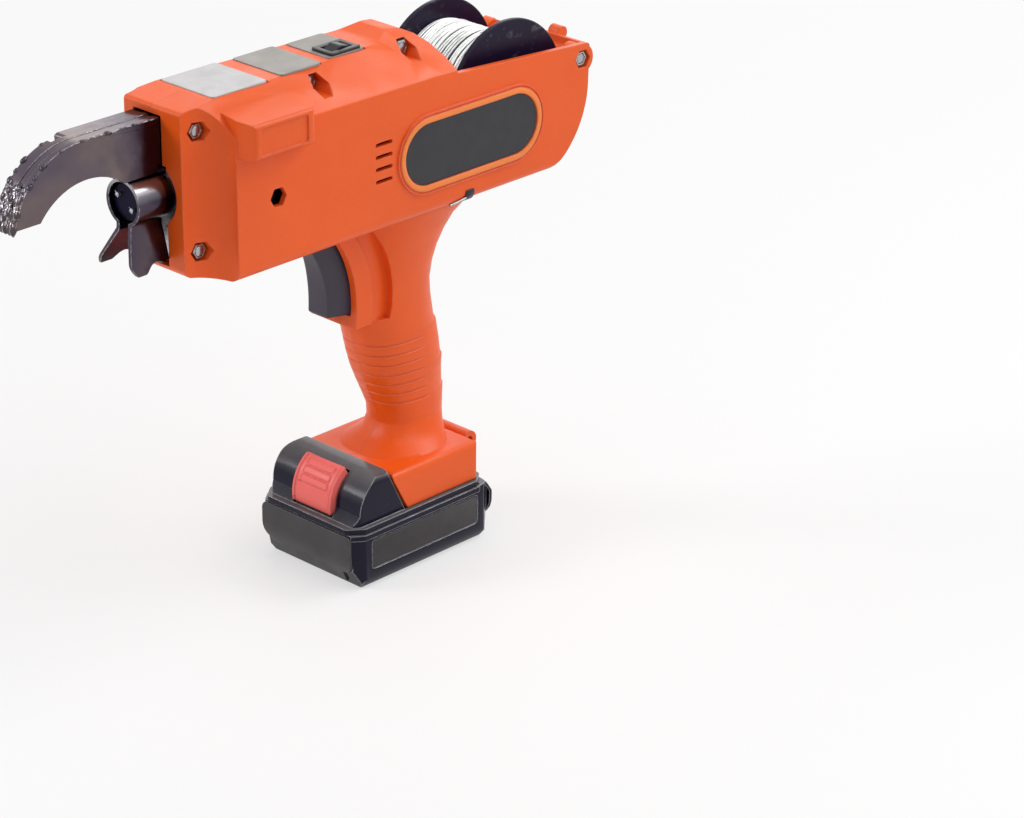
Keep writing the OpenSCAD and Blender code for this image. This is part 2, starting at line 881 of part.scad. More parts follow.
// Cylinder that hollows the trigger's front, set back for the collar
module finger_curve(back, y0, y1) {
    rod_y(trigger_front_x - back + trigger_curve_r, trigger_mid_z, trigger_curve_r, y0, y1);
}

// Left half of the collar that the trigger slides in
module collar_half() {
    difference() {
        box(collar_back_x, trigger_front_x + trigger_show, 0, collar_w / 2,
            trigger_low_z - collar_low, belly_z + wall / 2);
        finger_curve(trigger_show, -over, collar_w);
    }
}

// Hollow between the collar and the handle, along the trigger
module collar_fold() {
    intersection() {
        difference() {
            finger_curve(trigger_show + fold_back + fold_l, fold_half, half_w);
            finger_curve(trigger_show + fold_back, fold_half - over, half_w + over);
        }
        box(collar_back_x - fold_l, trigger_front_x, fold_half, half_w,
            trigger_low_z - collar_low, belly_z - wall);
    }
}

// Left half of the battery foot
module foot_half() {
    intersection() {
        along_y(0, foot_w / 2) polygon(rounded([
            [foot_rear_x, foot_z, 0], [foot_front_low_x, foot_z, 0],
            [foot_front_top_x, foot_top_z, edge_r], [foot_rear_x, foot_top_z, foot_edge_r]]));
        along_x(foot_rear_x - over, foot_front_top_x + over) polygon(rounded([
            [0, foot_z, 0], [foot_w / 2, foot_z, 0],
            [foot_w / 2, foot_top_z, foot_edge_r], [0, foot_top_z, 0]]));
        along_z(foot_z - over, foot_top_z + over) polygon(rounded([
            [foot_rear_x, -over, 0], [foot_front_top_x + over, -over, 0],
            [foot_front_top_x + over, foot_w / 2, 0],
            [foot_rear_x, foot_w / 2, foot_edge_r]]));
    }
}

// Slot in the foot for the battery's rail and the latch's tooth
module rail_slot() {
    rail_half = rail_w / 2 + slide_gap;
    neck_half = rail_neck_w / 2 + slide_gap;
    box(foot_slot_x, foot_front_top_x + over, -rail_half, rail_half, rail_low_z - slide_gap, roof_z);
    box(foot_slot_x, foot_front_top_x + over, -neck_half, neck_half, foot_z - over, rail_low_z);
    arm_half = button_arm_half + slide_gap;
    box(tooth_x - button_travel - slide_gap, foot_front_top_x + over, -arm_half, arm_half,
        roof_z - over, roof_z + groove_h);
}

// Screw bosses of one half and the round bump at the tail
module bosses(column) {
    intersection() {
        body_block();
        union() for (s = SCREWS) rod_y(s[0], s[1], s[5], s[column], half_w);
    }
    rod_y(SCREWS[4][0], SCREWS[4][1], tail_boss_r, spool_half + slide_gap, half_w);
}

// Screw holes and the pockets for nuts or heads in one half
module screw_cuts(nuts) {
    for (s = SCREWS) {
        rod_y(s[0], s[1], screw_r + screw_gap, -over, s[2] + over);
        translate([s[0], 0, s[1]]) along_y(s[2], half_w + over)
            if (nuts) hexagon(nut_af + nut_gap);
            else circle(r = screw_head_r + head_gap);
    }
}

// What both casing halves share, drawn for the left side
module shell_half(column, nuts) {
    difference() {
        union() {
            difference() {
                body_block();
                room_block();
                bay_block();
            }
            bosses(column);
            rod_y(spool_x, spool_z, axle_boss_r, spool_half + slide_gap, inner_half + wall / 2);
            handle_half();
            collar_half();
            foot_half();
            switch_ribs();
            rod_y(eye_x, eye_z, eye_r, 0, eye_half);
        }
        screw_cuts(nuts);
        rod_y(spool_x, spool_z, axle_r + run_gap, -over, inner_half);
        rail_slot();
        collar_fold();
        rod_y(eye_x, eye_z, eye_hole_r, -over, eye_half + over);
        box(pocket_back_x, trigger_front_x + trigger_show, -over, trigger_w / 2 + slide_gap,
            trigger_low_z - slide_gap, trigger_top_z + slide_gap);
        translate([hatch_x, 0, belly_z])
            box(-hatch[0] / 2, hatch[0] / 2, -over, hatch[1] / 2, -over, wall + over);
        for (k = [0 : vent_count - 1])
            translate([vent_x, 0, belly_z + vent_low + k * vent_pitch])
                along_y(inner_half - over, half_w + over) stadium(vent_l, vent_h);
        wire_hole();
        mouth(column == 3 ? hook_t / 2 : hook_t / 2 + guide_t);
        top_recesses();
    }
}

// Ribs that hold the trigger switch in the handle
module switch_ribs() {
    y0 = switch_box[1] / 2 + seat_gap;
    for (z = [switch_box_z + switch_rib, switch_box_z + switch_box[2] - 2 * switch_rib])
        box(switch_box_x - switch_box[0] + switch_rib, switch_box_x - switch_rib, y0,
            handle_at((z - foot_top_z) / handle_h)[2] - wall / 2, z, z + switch_rib);
}

// Hole for the wire guide in the front wall of the spool bay
module wire_hole() {
    rod_x(0, wire_z, guide_tube_r + run_gap, bay_x - over, bay_x + wall + over);
}

// Opening in the nose for the jaw, the funnel's tube and its legs
module mouth(reach) {
    along_x(nose_x - wall - over, nose_x + over) {
        translate([0, axis_z]) circle(r = mouth_r);
        translate([-over, belly_z + nose_lift + wall])
            square([mouth_half + over, jaw_low_z - belly_z - nose_lift]);
        translate([-over, axis_z]) square([reach + slide_gap + over, arm_top_z - axis_z + slide_gap]);
    }
}

// Shallow recesses for the window and the labels on the top
module top_recesses() {
    for (r = [[window_x, window_w], [label_x, label_w], [switch_plate_x, switch_plate_w]])
        box(r[0][0] - seat_gap, r[0][1] + seat_gap, -over, r[1] / 2 + seat_gap, top_z - plate_sink, crown_z);
}

// Opening for the body of the rocker switch
module switch_hole() {
    box(switch_x - bezel_l / 2 + bezel_frame - seat_gap, switch_x + bezel_l / 2 - bezel_frame + seat_gap,
        switch_y - bezel_w / 2 + bezel_frame - seat_gap, switch_y + bezel_w / 2 - bezel_frame + seat_gap,
        top_z - wall - over, crown_z);
}

module oval_rim() {
    translate([oval_x, 0, belly_z + oval_low]) {
        along_y(half_w - wall / 2, half_w + rim_out) difference() {
            stadium(oval_l + 2 * rim_w, oval_h + 2 * rim_w);
            stadium(oval_l + 2 * seat_gap, oval_h + 2 * seat_gap);
        }
    }
}

// Fine line let into the rim of the oval plate
module rim_line() {
    inset = rim_w - rim_line_w;
    translate([oval_x, 0, belly_z + oval_low])
        along_y(half_w + rim_out / 2, half_w + rim_out + over) difference() {
            stadium(oval_l + 2 * inset, oval_h + 2 * inset);
            stadium(oval_l + 2 * inset - 2 * rim_line_w, oval_h + 2 * inset - 2 * rim_line_w);
        }
}

module casing_left() {
    color(casing_colour) difference() {
        union() {
            difference() {
                union() {
                    shell_half(3, true);
                    difference() {
                        bump_block(0);
                        room_block();
                    }
                }
                bump_block(bump_wall);
            }
            oval_rim();
            rod_y(tail_x - lug_out, tail_z + lug_up, lug_r, lug_y, lug_y + lug_w);
        }
        rim_line();
        screw_cuts(true);
        switch_hole();
        translate([(bump_front_x + bump_rear_x) / 2, 0, (bump_low_z + bump_top_z) / 2])
            along_y(bump_half - panel_depth, bump_half + over)
                round_rect(bump_front_x - bump_rear_x - 2 * bump_r - panel_margin,
                    bump_h - bump_r - panel_margin, panel_margin);
        translate([hex_hole_x, 0, belly_z + hex_hole_low])
            along_y(inner_half - over, half_w + over) hexagon(hex_hole_af);
    }
}

module casing_right() {
    color(casing_colour) mirror([0, 1, 0]) difference() {
        shell_half(4, false);
        far_wall_cut();
    }
}

// The bay's far wall and the tail's far corner fall to the tail
module far_wall_cut() {
    along_y(inner_half, half_w + over) polygon([
        [bay_x, crown_z - round_r - kink_drop], [bay_x, crown_z], [tail_x - over, crown_z],
        [tail_x - over, tail_z - far_drop]]);
    along_x(tail_x - over, tail_x + tail_lean + wall + over) polygon([
        [half_w - far_corner_w, tail_z], [half_w - far_corner_w, crown_z], [half_w + over, crown_z],
        [half_w + over, tail_z - far_drop], [inner_half, tail_z - far_drop]]);
}

module casing_screws() {
    color(bright_colour) for (s = SCREWS) {
        rod_y(s[0], s[1], screw_r, -s[2], s[2] + nut_h + seat_gap);
        rod_y(s[0], s[1], screw_head_r, -s[2] - head_h, -s[2]);
    }
}

module casing_nuts() {
    color(bright_colour) for (s = SCREWS)
        translate([s[0], 0, s[1]]) along_y(s[2], s[2] + nut_h) difference() {
        hexagon(nut_af);
        circle(r = screw_r + run_gap);
    }
}

// Outline of the hook, its inner and outer curves moved by the two edges
module hook_outline(inner, outer) {
    difference() {
        union() {
            translate([jaw_back_x, jaw_low_z]) square([hook_x - jaw_back_x, arm_top_z - outer - jaw_low_z]);
            intersection() {
                translate([hook_x, hook_z]) circle(r = hook_r - outer, $fn = 96);
                translate([hook_x - over, hook_tip_z + outer]) square([hook_r + 2 * over, hook_r]);
            }
        }
        translate([hook_inner_x, hook_inner_z]) circle(r = hook_inner_r + inner, $fn = 96);
    }
}

// Hole for the upper nose screw and the cutter's pin
module jaw_holes() {
    translate([SCREWS[0][0], SCREWS[0][1]]) circle(r = screw_r + screw_gap);
    translate([cutter_x, cutter_z]) circle(r = cutter_pin_r);
}

module jaw_left_plate() {
    color(steel_colour) along_y(core_t / 2, hook_t / 2) difference() {
        hook_outline(0, 0);
        jaw_holes();
    }
}

module jaw_right_plate() {
    color(steel_colour) {
        along_y(-hook_t / 2, -core_t / 2) difference() {
            hook_outline(0, 0);
            jaw_holes();
        }
        along_y(-hook_t / 2 - cheek_t, -core_t) intersection() {
            hook_outline(0, 0);
            translate([cheek_x, hook_tip_z]) square([hook_r + hook_x - cheek_x, hook_r]);
        }
    }
}

module jaw_core() {
    color(steel_colour) along_y(-core_t / 2, core_t / 2) difference() {
        hook_outline(track_depth, core_edge);
        jaw_holes();
        translate([jaw_back_x - over, wire_z - wire_d]) square([hook_x - jaw_back_x, 2 * wire_d]);
    }
}

module jaw_guide_block() {
    color(steel_colour) along_y(-hook_t / 2 - guide_t, -hook_t / 2) difference() {
        polygon(rounded([
            [jaw_back_x, guide_low_z, 0], [guide_front_x - cutter_h, guide_low_z, 0],
            [guide_front_x, wire_z, edge_r], [guide_front_x, arm_top_z - guide_down, edge_r],
            [jaw_back_x, arm_top_z - guide_down, 0]]));
        translate([SCREWS[0][0], SCREWS[0][1]]) circle(r = screw_r + screw_gap);
    }
}

module nose_frame() {
    color(bright_colour) difference() {
        box(frame_back_x, frame_front_x, -frame_half, frame_half, frame_low_z, jaw_low_z);
        rod_x(0, axis_z, shaft_r + 2 * slide_gap, frame_back_x - over, frame_front_x + over);
        rod_x(0, axis_z, bearing_r, frame_front_x - bearing_l, frame_front_x + over);
        rod_y(SCREWS[1][0], SCREWS[1][1], screw_r + screw_gap, -frame_half - over, frame_half + over);
    }
}

module front_bearing() {
    color(bright_colour) difference() {
        rod_x(0, axis_z, bearing_r, frame_front_x - bearing_l, frame_front_x);
        rod_x(0, axis_z, shaft_r + run_gap, frame_front_x - bearing_l - over, frame_front_x + over);
    }
}

// One leg of the funnel, a bent strip from the neck to a foot at y1 and z1
module funnel_leg(side, y1, z1) {
    neck = neck_w / 2;
    polygon([
        [side * neck, neck_z + funnel_r / 2], [side * neck, neck_z - sheet_t], [side * (y1 - sheet_t), z1],
        [side * y1, z1], [side * (neck + sheet_t * 1.2), neck_z - sheet_t / 2],
        [side * (neck + sheet_t * 1.2), neck_z + funnel_r / 2]]);
}

module wire_funnel() {
    color(steel_colour) intersection() {
        difference() {
            union() {
                along_x(funnel_x, funnel_front_x) difference() {
                    translate([0, axis_z]) circle(r = funnel_r);
                    translate([-neck_w / 2, axis_z - 2 * funnel_r]) square([neck_w, 2 * funnel_r]);
                }
                along_x(nose_x + slide_gap, funnel_front_x + foot_reach) {
                    funnel_leg(1, near_foot_y, leg_low_z);
                    funnel_leg(-1, far_foot_y, leg_low_z + far_foot_up);
                }
            }
            rod_x(0, axis_z, funnel_r - sheet_t, funnel_x - over, funnel_front_x + over);
        }
        along_y(-far_foot_y - over, far_foot_y) polygon(rounded([
            [funnel_x, leg_low_z + foot_corner_r, 0],
            [nose_x + foot_reach, leg_low_z + foot_corner_r / 2, foot_corner_r],
            [nose_x + funnel_out / 2, leg_low_z + foot_corner_r, foot_corner_r],
            [funnel_front_x, leg_low_z - foot_reach, foot_corner_r],
            [funnel_front_x + foot_reach, leg_low_z + foot_corner_r, foot_corner_r],
            [funnel_front_x, neck_z, foot_corner_r],
            [funnel_front_x, axis_z + funnel_r + over, 0],
            [funnel_x, axis_z + funnel_r + over, 0]]));
    }
}

module twist_head() {
    color(steel_colour) difference() {
        union() {
            rod_x(0, axis_z, head_r, head_back_x, head_front_x);
            for (s = [0, 180]) let (a = stud_turn + s)
                rod_x(stud_at * cos(a), axis_z + stud_at * sin(a), stud_r,
                    head_front_x - over, head_front_x + stud_out);
        }
        rod_x(0, axis_z, shaft_r, head_back_x - over, head_back_x + socket_l);
    }
}

module twist_shaft() {
    color(bright_colour) rod_x(0, axis_z, shaft_r, gear_back_x, head_back_x + socket_l);
}

// Spur gear with straight flanks, a tooth's middle at angle turn
function gear_points(teeth, turn) =
    let (r = gear_module * teeth / 2, step = 360 / teeth,
         rows = [[r - tooth_ded * gear_module, tooth_root_share], [r, tooth_pitch_share],
                 [r + tooth_add * gear_module, tooth_tip_share]])
    [for (k = [0 : teeth - 1], p = [[0, -1], [1, -1], [2, -1], [2, 1], [1, 1], [0, 1]])
        let (a = turn + step * (k + p[1] * rows[p[0]][1])) rows[p[0]][0] * [cos(a), sin(a)]];

module twist_gear() {
    color(bright_colour) translate([0, 0, axis_z]) along_x(gear_x, gear_x + gear_w) difference() {
        polygon(gear_points(gear_teeth, -90));
        circle(r = shaft_r);
    }
}

module motor_pinion() {
    color(bright_colour) translate([0, 0, motor_z]) along_x(gear_x, gear_x + gear_w) difference() {
        polygon(gear_points(pinion_teeth, 90 + 180 / pinion_teeth));
        circle(r = motor_shaft_r);
    }
}

module motor_shaft() {
    color(bright_colour) rod_x(0, motor_z, motor_shaft_r, gear_back_x - motor_shaft_in, gear_x + gear_w);
}

module twist_motor() {
    color(slate_colour) difference() {
        union() {
            rod_x(0, motor_z, motor_r, gear_back_x - motor_l, gear_back_x);
            rod_x(0, motor_z, motor_boss_r, gear_back_x - over, gear_back_x + motor_boss_h);
        }
        rod_x(0, motor_z, motor_shaft_r + run_gap,
            gear_back_x - motor_shaft_in - over, gear_back_x + motor_l);
    }
}

// Plate across the body that carries the gears
module gear_plate(x0, motor_hole) {
    difference() {
        intersection() {
            along_x(x0, x0 + plate_w) union() {
                body_section(gear_plate_fit, 0);
                mirror([1, 0]) body_section(gear_plate_fit, 0);
            }
            box(x0 - over, x0 + plate_w + over, -half_w, half_w, belly_z, gear_plate_top);
        }
        rod_x(0, axis_z, shaft_r + run_gap, x0 - over, x0 + plate_w + over);
        rod_x(0, motor_z, motor_hole, x0 - over, x0 + plate_w + over);
    }
}

module gear_plate_rear() {
    color(bright_colour) gear_plate(gear_back_x, motor_boss_r + run_gap);
}

module gear_plate_front() {
    color(bright_colour) gear_plate(gear_front_x, motor_boss_r + run_gap);
}

module feed_bracket() {
    color(bright_colour) difference() {
        box(bracket_back_x, bracket_back_x + bracket_l, -bracket_right, inner_half - seat_gap,
            bracket_top_z - bracket_t, bracket_top_z);
        rod_z(feed_x, feed_y, feed_shaft_r + slide_gap,
            bracket_top_z - bracket_t - over, bracket_top_z + over);
        rod_z(feed_x, idler_y, idler_axle_r, bracket_top_z - bracket_t - over, bracket_top_z + over);
    }
}

module feed_motor() {
    z1 = bracket_top_z - bracket_t;
    color(slate_colour) difference() {
        rod_z(feed_x, feed_y, feed_motor_r, z1 - feed_motor_l, z1);
        rod_z(feed_x, feed_y, feed_shaft_r + run_gap, z1 - feed_shaft_in - over, z1 + over);
    }
}

module feed_shaft() {
    color(bright_colour) rod_z(feed_x, feed_y, feed_shaft_r, bracket_top_z - bracket_t - feed_shaft_in,
        wire_z + wheel_h / 2);
}

// Wheel of radius r with a fine groove that grips the wire
module grooved_wheel(r, bore) {
    rotate_extrude($fn = 72) polygon([
        [bore, -wheel_h / 2], [r, -wheel_h / 2], [r, -groove_depth], [r - groove_depth, 0], [r, groove_depth],
        [r, wheel_h / 2], [bore, wheel_h / 2]]);
}

module feed_wheel() {
    color(bright_colour) translate([feed_x, feed_y, wire_z]) grooved_wheel(feed_r, feed_shaft_r);
}

module idler_axle() {
    color(bright_colour) {
        rod_z(feed_x, idler_y, idler_axle_r, bracket_top_z - bracket_t, wire_z + wheel_h / 2 + seat_gap);
        rod_z(feed_x, idler_y, axle_head_r, wire_z + wheel_h / 2 + seat_gap,
            wire_z + wheel_h / 2 + seat_gap + axle_head_h);
        rod_z(feed_x, idler_y, axle_head_r, bracket_top_z, wire_z - wheel_h / 2 - seat_gap);
    }
}

module idler_wheel() {
    color(bright_colour) translate([feed_x, idler_y, wire_z]) grooved_wheel(idler_r, idler_axle_r + run_gap);
}

module wire_guide() {
    color(bright_colour) difference() {
        rod_x(0, wire_z, guide_tube_r, bay_x, guide_tube_end);
        rod_x(0, wire_z, guide_bore_r, bay_x - over, guide_tube_end + over);
    }
}

module cutter_pin() {
    color(bright_colour)
        rod_y(cutter_x, cutter_z, cutter_pin_r, -hook_t / 2, hook_t / 2 + seat_gap + cutter_t);
}

module cutter_lever() {
    y0 = hook_t / 2 + seat_gap;
    color(bright_colour) along_y(y0, y0 + cutter_t) difference() {
        union() {
            translate([cutter_x, cutter_z]) circle(d = cutter_h);
            translate([cutter_x - cutter_l, cutter_z - cutter_h / 2]) square([cutter_l, cutter_h / 2]);
        }
        translate([cutter_x, cutter_z]) circle(r = cutter_pin_r + run_gap);
    }
}

module circuit_board() {
    y0 = -inner_half + seat_gap;
    z0 = belly_z + board_low;
    color("#2f6b45") {
        box(board_x, board_x + board[0], y0, y0 + board[1], z0, z0 + board[2]);
        for (k = [0 : 2])
            box(board_x + chip[0] * (1.4 * k + 0.4), board_x + chip[0] * (1.4 * k + 1.4), y0 + board[1],
                y0 + board[1] + chip[1], z0 + chip[2], z0 + 2 * chip[2]);
    }
}

module trigger() {
    front = trigger_front_x + trigger_show;
    tip = trigger_w / 2 - trigger_taper * (front - trigger_side_x);
    color("#4a4a52") difference() {
        along_z(trigger_low_z, trigger_top_z) polygon([
            [trigger_back_x, -trigger_w / 2], [trigger_side_x, -trigger_w / 2], [front, -tip],
            [front, tip], [trigger_side_x, trigger_w / 2], [trigger_back_x, trigger_w / 2]]);
        finger_curve(0, -trigger_w, trigger_w);
        rod_x(0, spring_z, spring_r + spring_wire, trigger_back_x - over, trigger_back_x + spring_r);
    }
}

module trigger_switch() {
    color(black_colour) {
        box(switch_box_x - switch_box[0], switch_box_x, -switch_box[1] / 2, switch_box[1] / 2,
            switch_box_z, switch_box_z + switch_box[2]);
        rod_x(0, spring_z, spring_pin_r, switch_box_x - over, switch_box_x + spring_r);
    }
}

// Tube along the given points, each ring set by its own side and tangent
module swept_tube(points, sides, tangents, r, n) {
    rings = len(points);
    verts = [for (i = [0 : rings - 1], k = [0 : n - 1])
        let (b = cross(tangents[i], sides[i]))
            points[i] + r * (cos(360 * k / n) * sides[i] + sin(360 * k / n) * b)];
    walls = [for (i = [0 : rings - 2], k = [0 : n - 1])
        let (a = i * n + k, b = i * n + (k + 1) % n)
            each [[a, b, b + n], [a, b + n, a + n]]];
    caps = [for (k = [1 : n - 2]) each [[0, k + 1, k],
        [(rings - 1) * n, (rings - 1) * n + k, (rings - 1) * n + k + 1]]];
    polyhedron(verts, concat([for (w = walls) [w[0], w[2], w[1]]],
        [for (c = caps) [c[0], c[2], c[1]]]));
}

// Compression spring along X from x0 to x1
module coil_spring(r, wire, x0, x1, curls) {
    steps = 8 * curls;
    run = x1 - x0 - wire;
    place = [for (i = [0 : steps]) x0 + wire / 2 + run * i / steps];
    turns = [for (i = [0 : steps]) 360 * i * curls / steps];
    sides = [for (a = turns) [0, cos(a), sin(a)]];
    tangents = [for (a = turns) unit([run / curls, -2 * PI * r * sin(a), 2 * PI * r * cos(a)])];
    swept_tube([for (i = [0 : steps]) [place[i], 0, 0] + r * sides[i]], sides, tangents, wire / 2, 6);
}

trigger_curls = 6;
module trigger_spring() {
    color(bright_colour) translate([0, 0, spring_z])
        coil_spring(spring_r, spring_wire, switch_box_x,
            trigger_back_x + spring_r - seat_gap / 2, trigger_curls);
}

module rocker_bezel() {
    z0 = top_z - plate_sink + plate_t;
    color(black_colour) translate([switch_x, switch_y, 0]) difference() {
        union() {
            along_z(z0, z0 + bezel_t) round_rect(bezel_l, bezel_w, edge_r / 2);
            along_z(top_z - switch_depth, z0)
                square([bezel_l - 2 * bezel_frame, bezel_w - 2 * bezel_frame], center = true);
        }
        along_z(z0 - rocker_deep, z0 + bezel_t + over)
            square([bezel_l - 4 * bezel_frame + 2 * rocker_gap, bezel_w - 4 * bezel_frame + 2 * rocker_gap],
                center = true);
        translate([0, 0, z0 - bezel_t]) rod_y(0, 0, rocker_pin_r + run_gap, -bezel_w / 2 + 1.5 * bezel_frame,
            bezel_w / 2 - 1.5 * bezel_frame);
    }
}

module rocker() {
    z0 = top_z - plate_sink + plate_t - bezel_t;
    l = bezel_l - 4 * bezel_frame - 2 * rocker_gap;
    w = bezel_w - 4 * bezel_frame;
    color(black_colour) translate([switch_x, switch_y, z0]) rotate([0, rocker_tilt, 0]) {
        along_y(-w / 2, w / 2) polygon(rounded([
            [-l / 2, -bezel_t, 0], [l / 2, -bezel_t, 0], [l / 2, bezel_t * 1.6, edge_r / 4],
            [0, rocker_rise, edge_r], [-l / 2, bezel_t * 1.6, edge_r / 4]]));
        rod_y(0, 0, rocker_pin_r, -w / 2 - bezel_frame / 2, w / 2 + bezel_frame / 2);
    }
}

module top_window() {
    color("#d8d8d6") along_z(top_z - plate_sink, top_z - plate_sink + plate_t)
        translate([(window_x[0] + window_x[1]) / 2, 0])
            round_rect(window_x[1] - window_x[0], window_w, edge_r);
}

module top_label() {
    color("#8a857e") along_z(top_z - plate_sink, top_z - plate_sink + plate_t)
        translate([(label_x[0] + label_x[1]) / 2, 0]) round_rect(label_x[1] - label_x[0], label_w, edge_r);
}

module switch_label() {
    color("#8a857e") difference() {
        along_z(top_z - plate_sink, top_z - plate_sink + plate_t)
            translate([(switch_plate_x[0] + switch_plate_x[1]) / 2, 0])
                round_rect(switch_plate_x[1] - switch_plate_x[0], switch_plate_w, edge_r);
        switch_hole();
    }
}

module oval_plate() {
    color(slate_colour) translate([oval_x, 0, belly_z + oval_low])
        along_y(half_w, half_w + plate_t / 2) stadium(oval_l, oval_h);
}

module spool() {
    color("#2d2530") translate([spool_x, 0, spool_z]) rotate([90, 0, 0]) rotate_extrude($fn = 96) {
        bore = axle_r + run_gap;
        polygon([
            [bore, -spool_half], [spool_r, -spool_half], [spool_r, flange_t - spool_half],
            [hub_r, flange_t - spool_half], [hub_r, spool_half - flange_t], [spool_r, spool_half - flange_t],
            [spool_r, spool_half], [bore, spool_half]]);
    }
}

module spool_axle() {
    color(bright_colour) rod_y(spool_x, spool_z, axle_r, -inner_half + seat_gap, inner_half - seat_gap);
}

loop_rings = 24;
wind_r = wound_r - wire_r;
core_r = wind_r * cos(180 / loop_rings) - wire_r - run_gap;
layer_half = spool_half - flange_t - seat_gap / 2;

module wire_core() {
    color(bright_colour) difference() {
        rod_y(spool_x, spool_z, core_r, -layer_half, layer_half);
        rod_y(spool_x, spool_z, hub_r + run_gap, -layer_half - over, layer_half + over);
    }
}

// Outer layer of wire, from one flange to the other.
// The path lies on a cylinder: s runs round it, y across it, and lean is its slope.
bend_r = 1.2;
bend_steps = 3;
lay_half = layer_half - wire_d - bend_r;
wire_pitch = 2 * lay_half / wire_loops;
lay_lean = atan2(wire_pitch, 2 * PI * wind_r);
lay_steps = wire_loops * loop_rings;
lay_length = 2 * PI * wind_r * wire_loops;
wire_end = concat(
    [[-bend_r, -layer_half, 90], [-bend_r, -layer_half + wire_d, 90]],
    [for (k = [1 : bend_steps]) let (a = 90 * k / (bend_steps + 1))
        [-bend_r * cos(a), -lay_half - bend_r + bend_r * sin(a), 90 - a]]
);
wire_path = concat(
    wire_end,
    [for (i = [0 : lay_steps])
        [lay_length * i / lay_steps, -lay_half + 2 * lay_half * i / lay_steps, lay_lean]],
    [for (k = [len(wire_end) - 1 : -1 : 0]) [lay_length - wire_end[k][0], -wire_end[k][1], wire_end[k][2]]]
);
function round_angle(s) = 180 * s / (PI * wind_r);
function outward(s) = [cos(round_angle(s)), 0, sin(round_angle(s))];
function forward(s) = [-sin(round_angle(s)), 0, cos(round_angle(s))];
wire_points = [for (p = wire_path) wind_r * outward(p[0]) + [0, p[1], 0]];
wire_last = len(wire_points) - 1;
wire_least_gap = min([
    for (i = [0 : wire_last - loop_rings / 2], j = [i + loop_rings / 2 : min(i + 2 * loop_rings, wire_last)])
        norm(wire_points[i] - wire_points[j])]) - wire_d;
echo(wire_least_gap = wire_least_gap);

module wire_winding() {
    color(bright_colour) translate([spool_x, 0, spool_z]) swept_tube(
        wire_points,
        [for (p = wire_path) outward(p[0])],
        [for (p = wire_path) cos(p[2]) * forward(p[0]) + [0, sin(p[2]), 0]],
        wire_r, 6);
}

// Plan of the battery with its cut corners, t further in and its rear s more
module tray_plan(t, s) {
    x0 = tray_back_x + t + s;
    x1 = tray_front_x - t;
    w = tray_half_w - t;
    c = tray_corner;
    e = tray_corner_w;
    r = tray_corner_r;
    polygon(rounded([
        [x0 + c, -w, r], [x1 - c, -w, r], [x1, -w + e, r], [x1, w - e, r],
        [x1 - c, w, r], [x0 + c, w, r], [x0, w - e, r], [x0, -w + e, r]]));
}

// Side outline of the lower shell, its bowed ends t further in
module tray_side(t) {
    x0 = tray_back_x + t;
    x1 = tray_front_x - t;
    polygon(rounded([
        [x0 + tray_taper, 0, 0], [x1 - tray_taper, 0, 0], [x1, tray_taper_h, tray_taper_r],
        [x1, tray_h, 0], [x0 + tray_shoulder, tray_h, 0],
        [x0, tray_h - tray_shoulder_h, tray_corner_r], [x0, tray_taper_h, tray_taper_r]]));
}

// Front panel seen from the front, with its tongue
module panel_outline(top_z, top_r, gap) {
    half = front_panel_w / 2 + gap;
    foot_half = half - front_panel_r;
    low_z = front_panel_low - gap;
    foot_low_z = front_panel_foot_z - gap;
    polygon(rounded([
        [-half, top_z, top_r], [-half, low_z, front_panel_r], [-foot_half, low_z, 0],
        [-foot_half, foot_low_z, 0], [foot_half, foot_low_z, 0],
        [foot_half, low_z, 0], [half, low_z, front_panel_r], [half, top_z, top_r]]));
}

// Panel that covers one end of the lower shell
module end_panel(x0, x1, top_z) {
    intersection() {
        along_x(x0, x1) panel_outline(top_z, front_panel_top_r, 0);
        along_y(-tray_half_w, tray_half_w) difference() {
            tray_side(0);
            tray_side(front_panel_t);
        }
    }
}

module battery_tray() {
    color(black_colour) difference() {
        union() {
            intersection() {
                along_z(0, tray_h) tray_plan(rim_step, 0);
                along_y(-tray_half_w, tray_half_w) tray_side(rim_step);
                along_x(tray_back_x, tray_front_x) polygon([
                    [-tray_half_w + tray_side_taper, 0], [tray_half_w - tray_side_taper, 0],
                    [tray_half_w, tray_side_taper_h], [tray_half_w, tray_h], [-tray_half_w, tray_h],
                    [-tray_half_w, tray_side_taper_h]]);
            }
            along_z(tray_h - rim_h, tray_h) tray_plan(0, tray_shoulder);
            end_panel(tray_back_x - over, tray_mid_x, tray_h);
        }
        cell_room();
        for (s = [0, 1]) mirror([0, s, 0]) translate([tray_mid_x, 0, side_panel_low + side_panel_h / 2])
            along_y(tray_half_w - rim_step - side_panel_deep, tray_half_w)
                round_rect(side_panel_l, side_panel_h, edge_r);
        intersection() {
            along_x(hump_x, tray_front_x + over) panel_outline(tray_h + over, 0, seat_gap);
            along_y(-tray_half_w, tray_half_w) difference() {
                translate([hump_x, -over]) square([tray_l, tray_h + 2 * over]);
                tray_side(front_panel_t + run_gap);
            }
        }
    }
}

// Space for the cells, one round bay for each
module cell_room() {
    x0 = cell_back_x - seat_gap;
    x1 = cell_back_x + cell_l + seat_gap;
    for (k = [-1 : 1]) {
        rod_x(k * cell_pitch, cell_z, cell_d / 2 + seat_gap / 2, x0, x1);
        box(x0, x1, k * cell_pitch - cell_d / 2 + seat_gap, k * cell_pitch + cell_d / 2 - seat_gap,
            cell_z, tray_h + over);
    }
}

module battery_label() {
    color("#3c3a3e") end_panel(hump_x, tray_front_x + over, tray_h - seat_gap);
}

module battery_cells() {
    color("#3f7d9c") for (k = [-1 : 1])
        rod_x(k * cell_pitch, cell_z, cell_d / 2, cell_back_x, cell_back_x + cell_l);
}

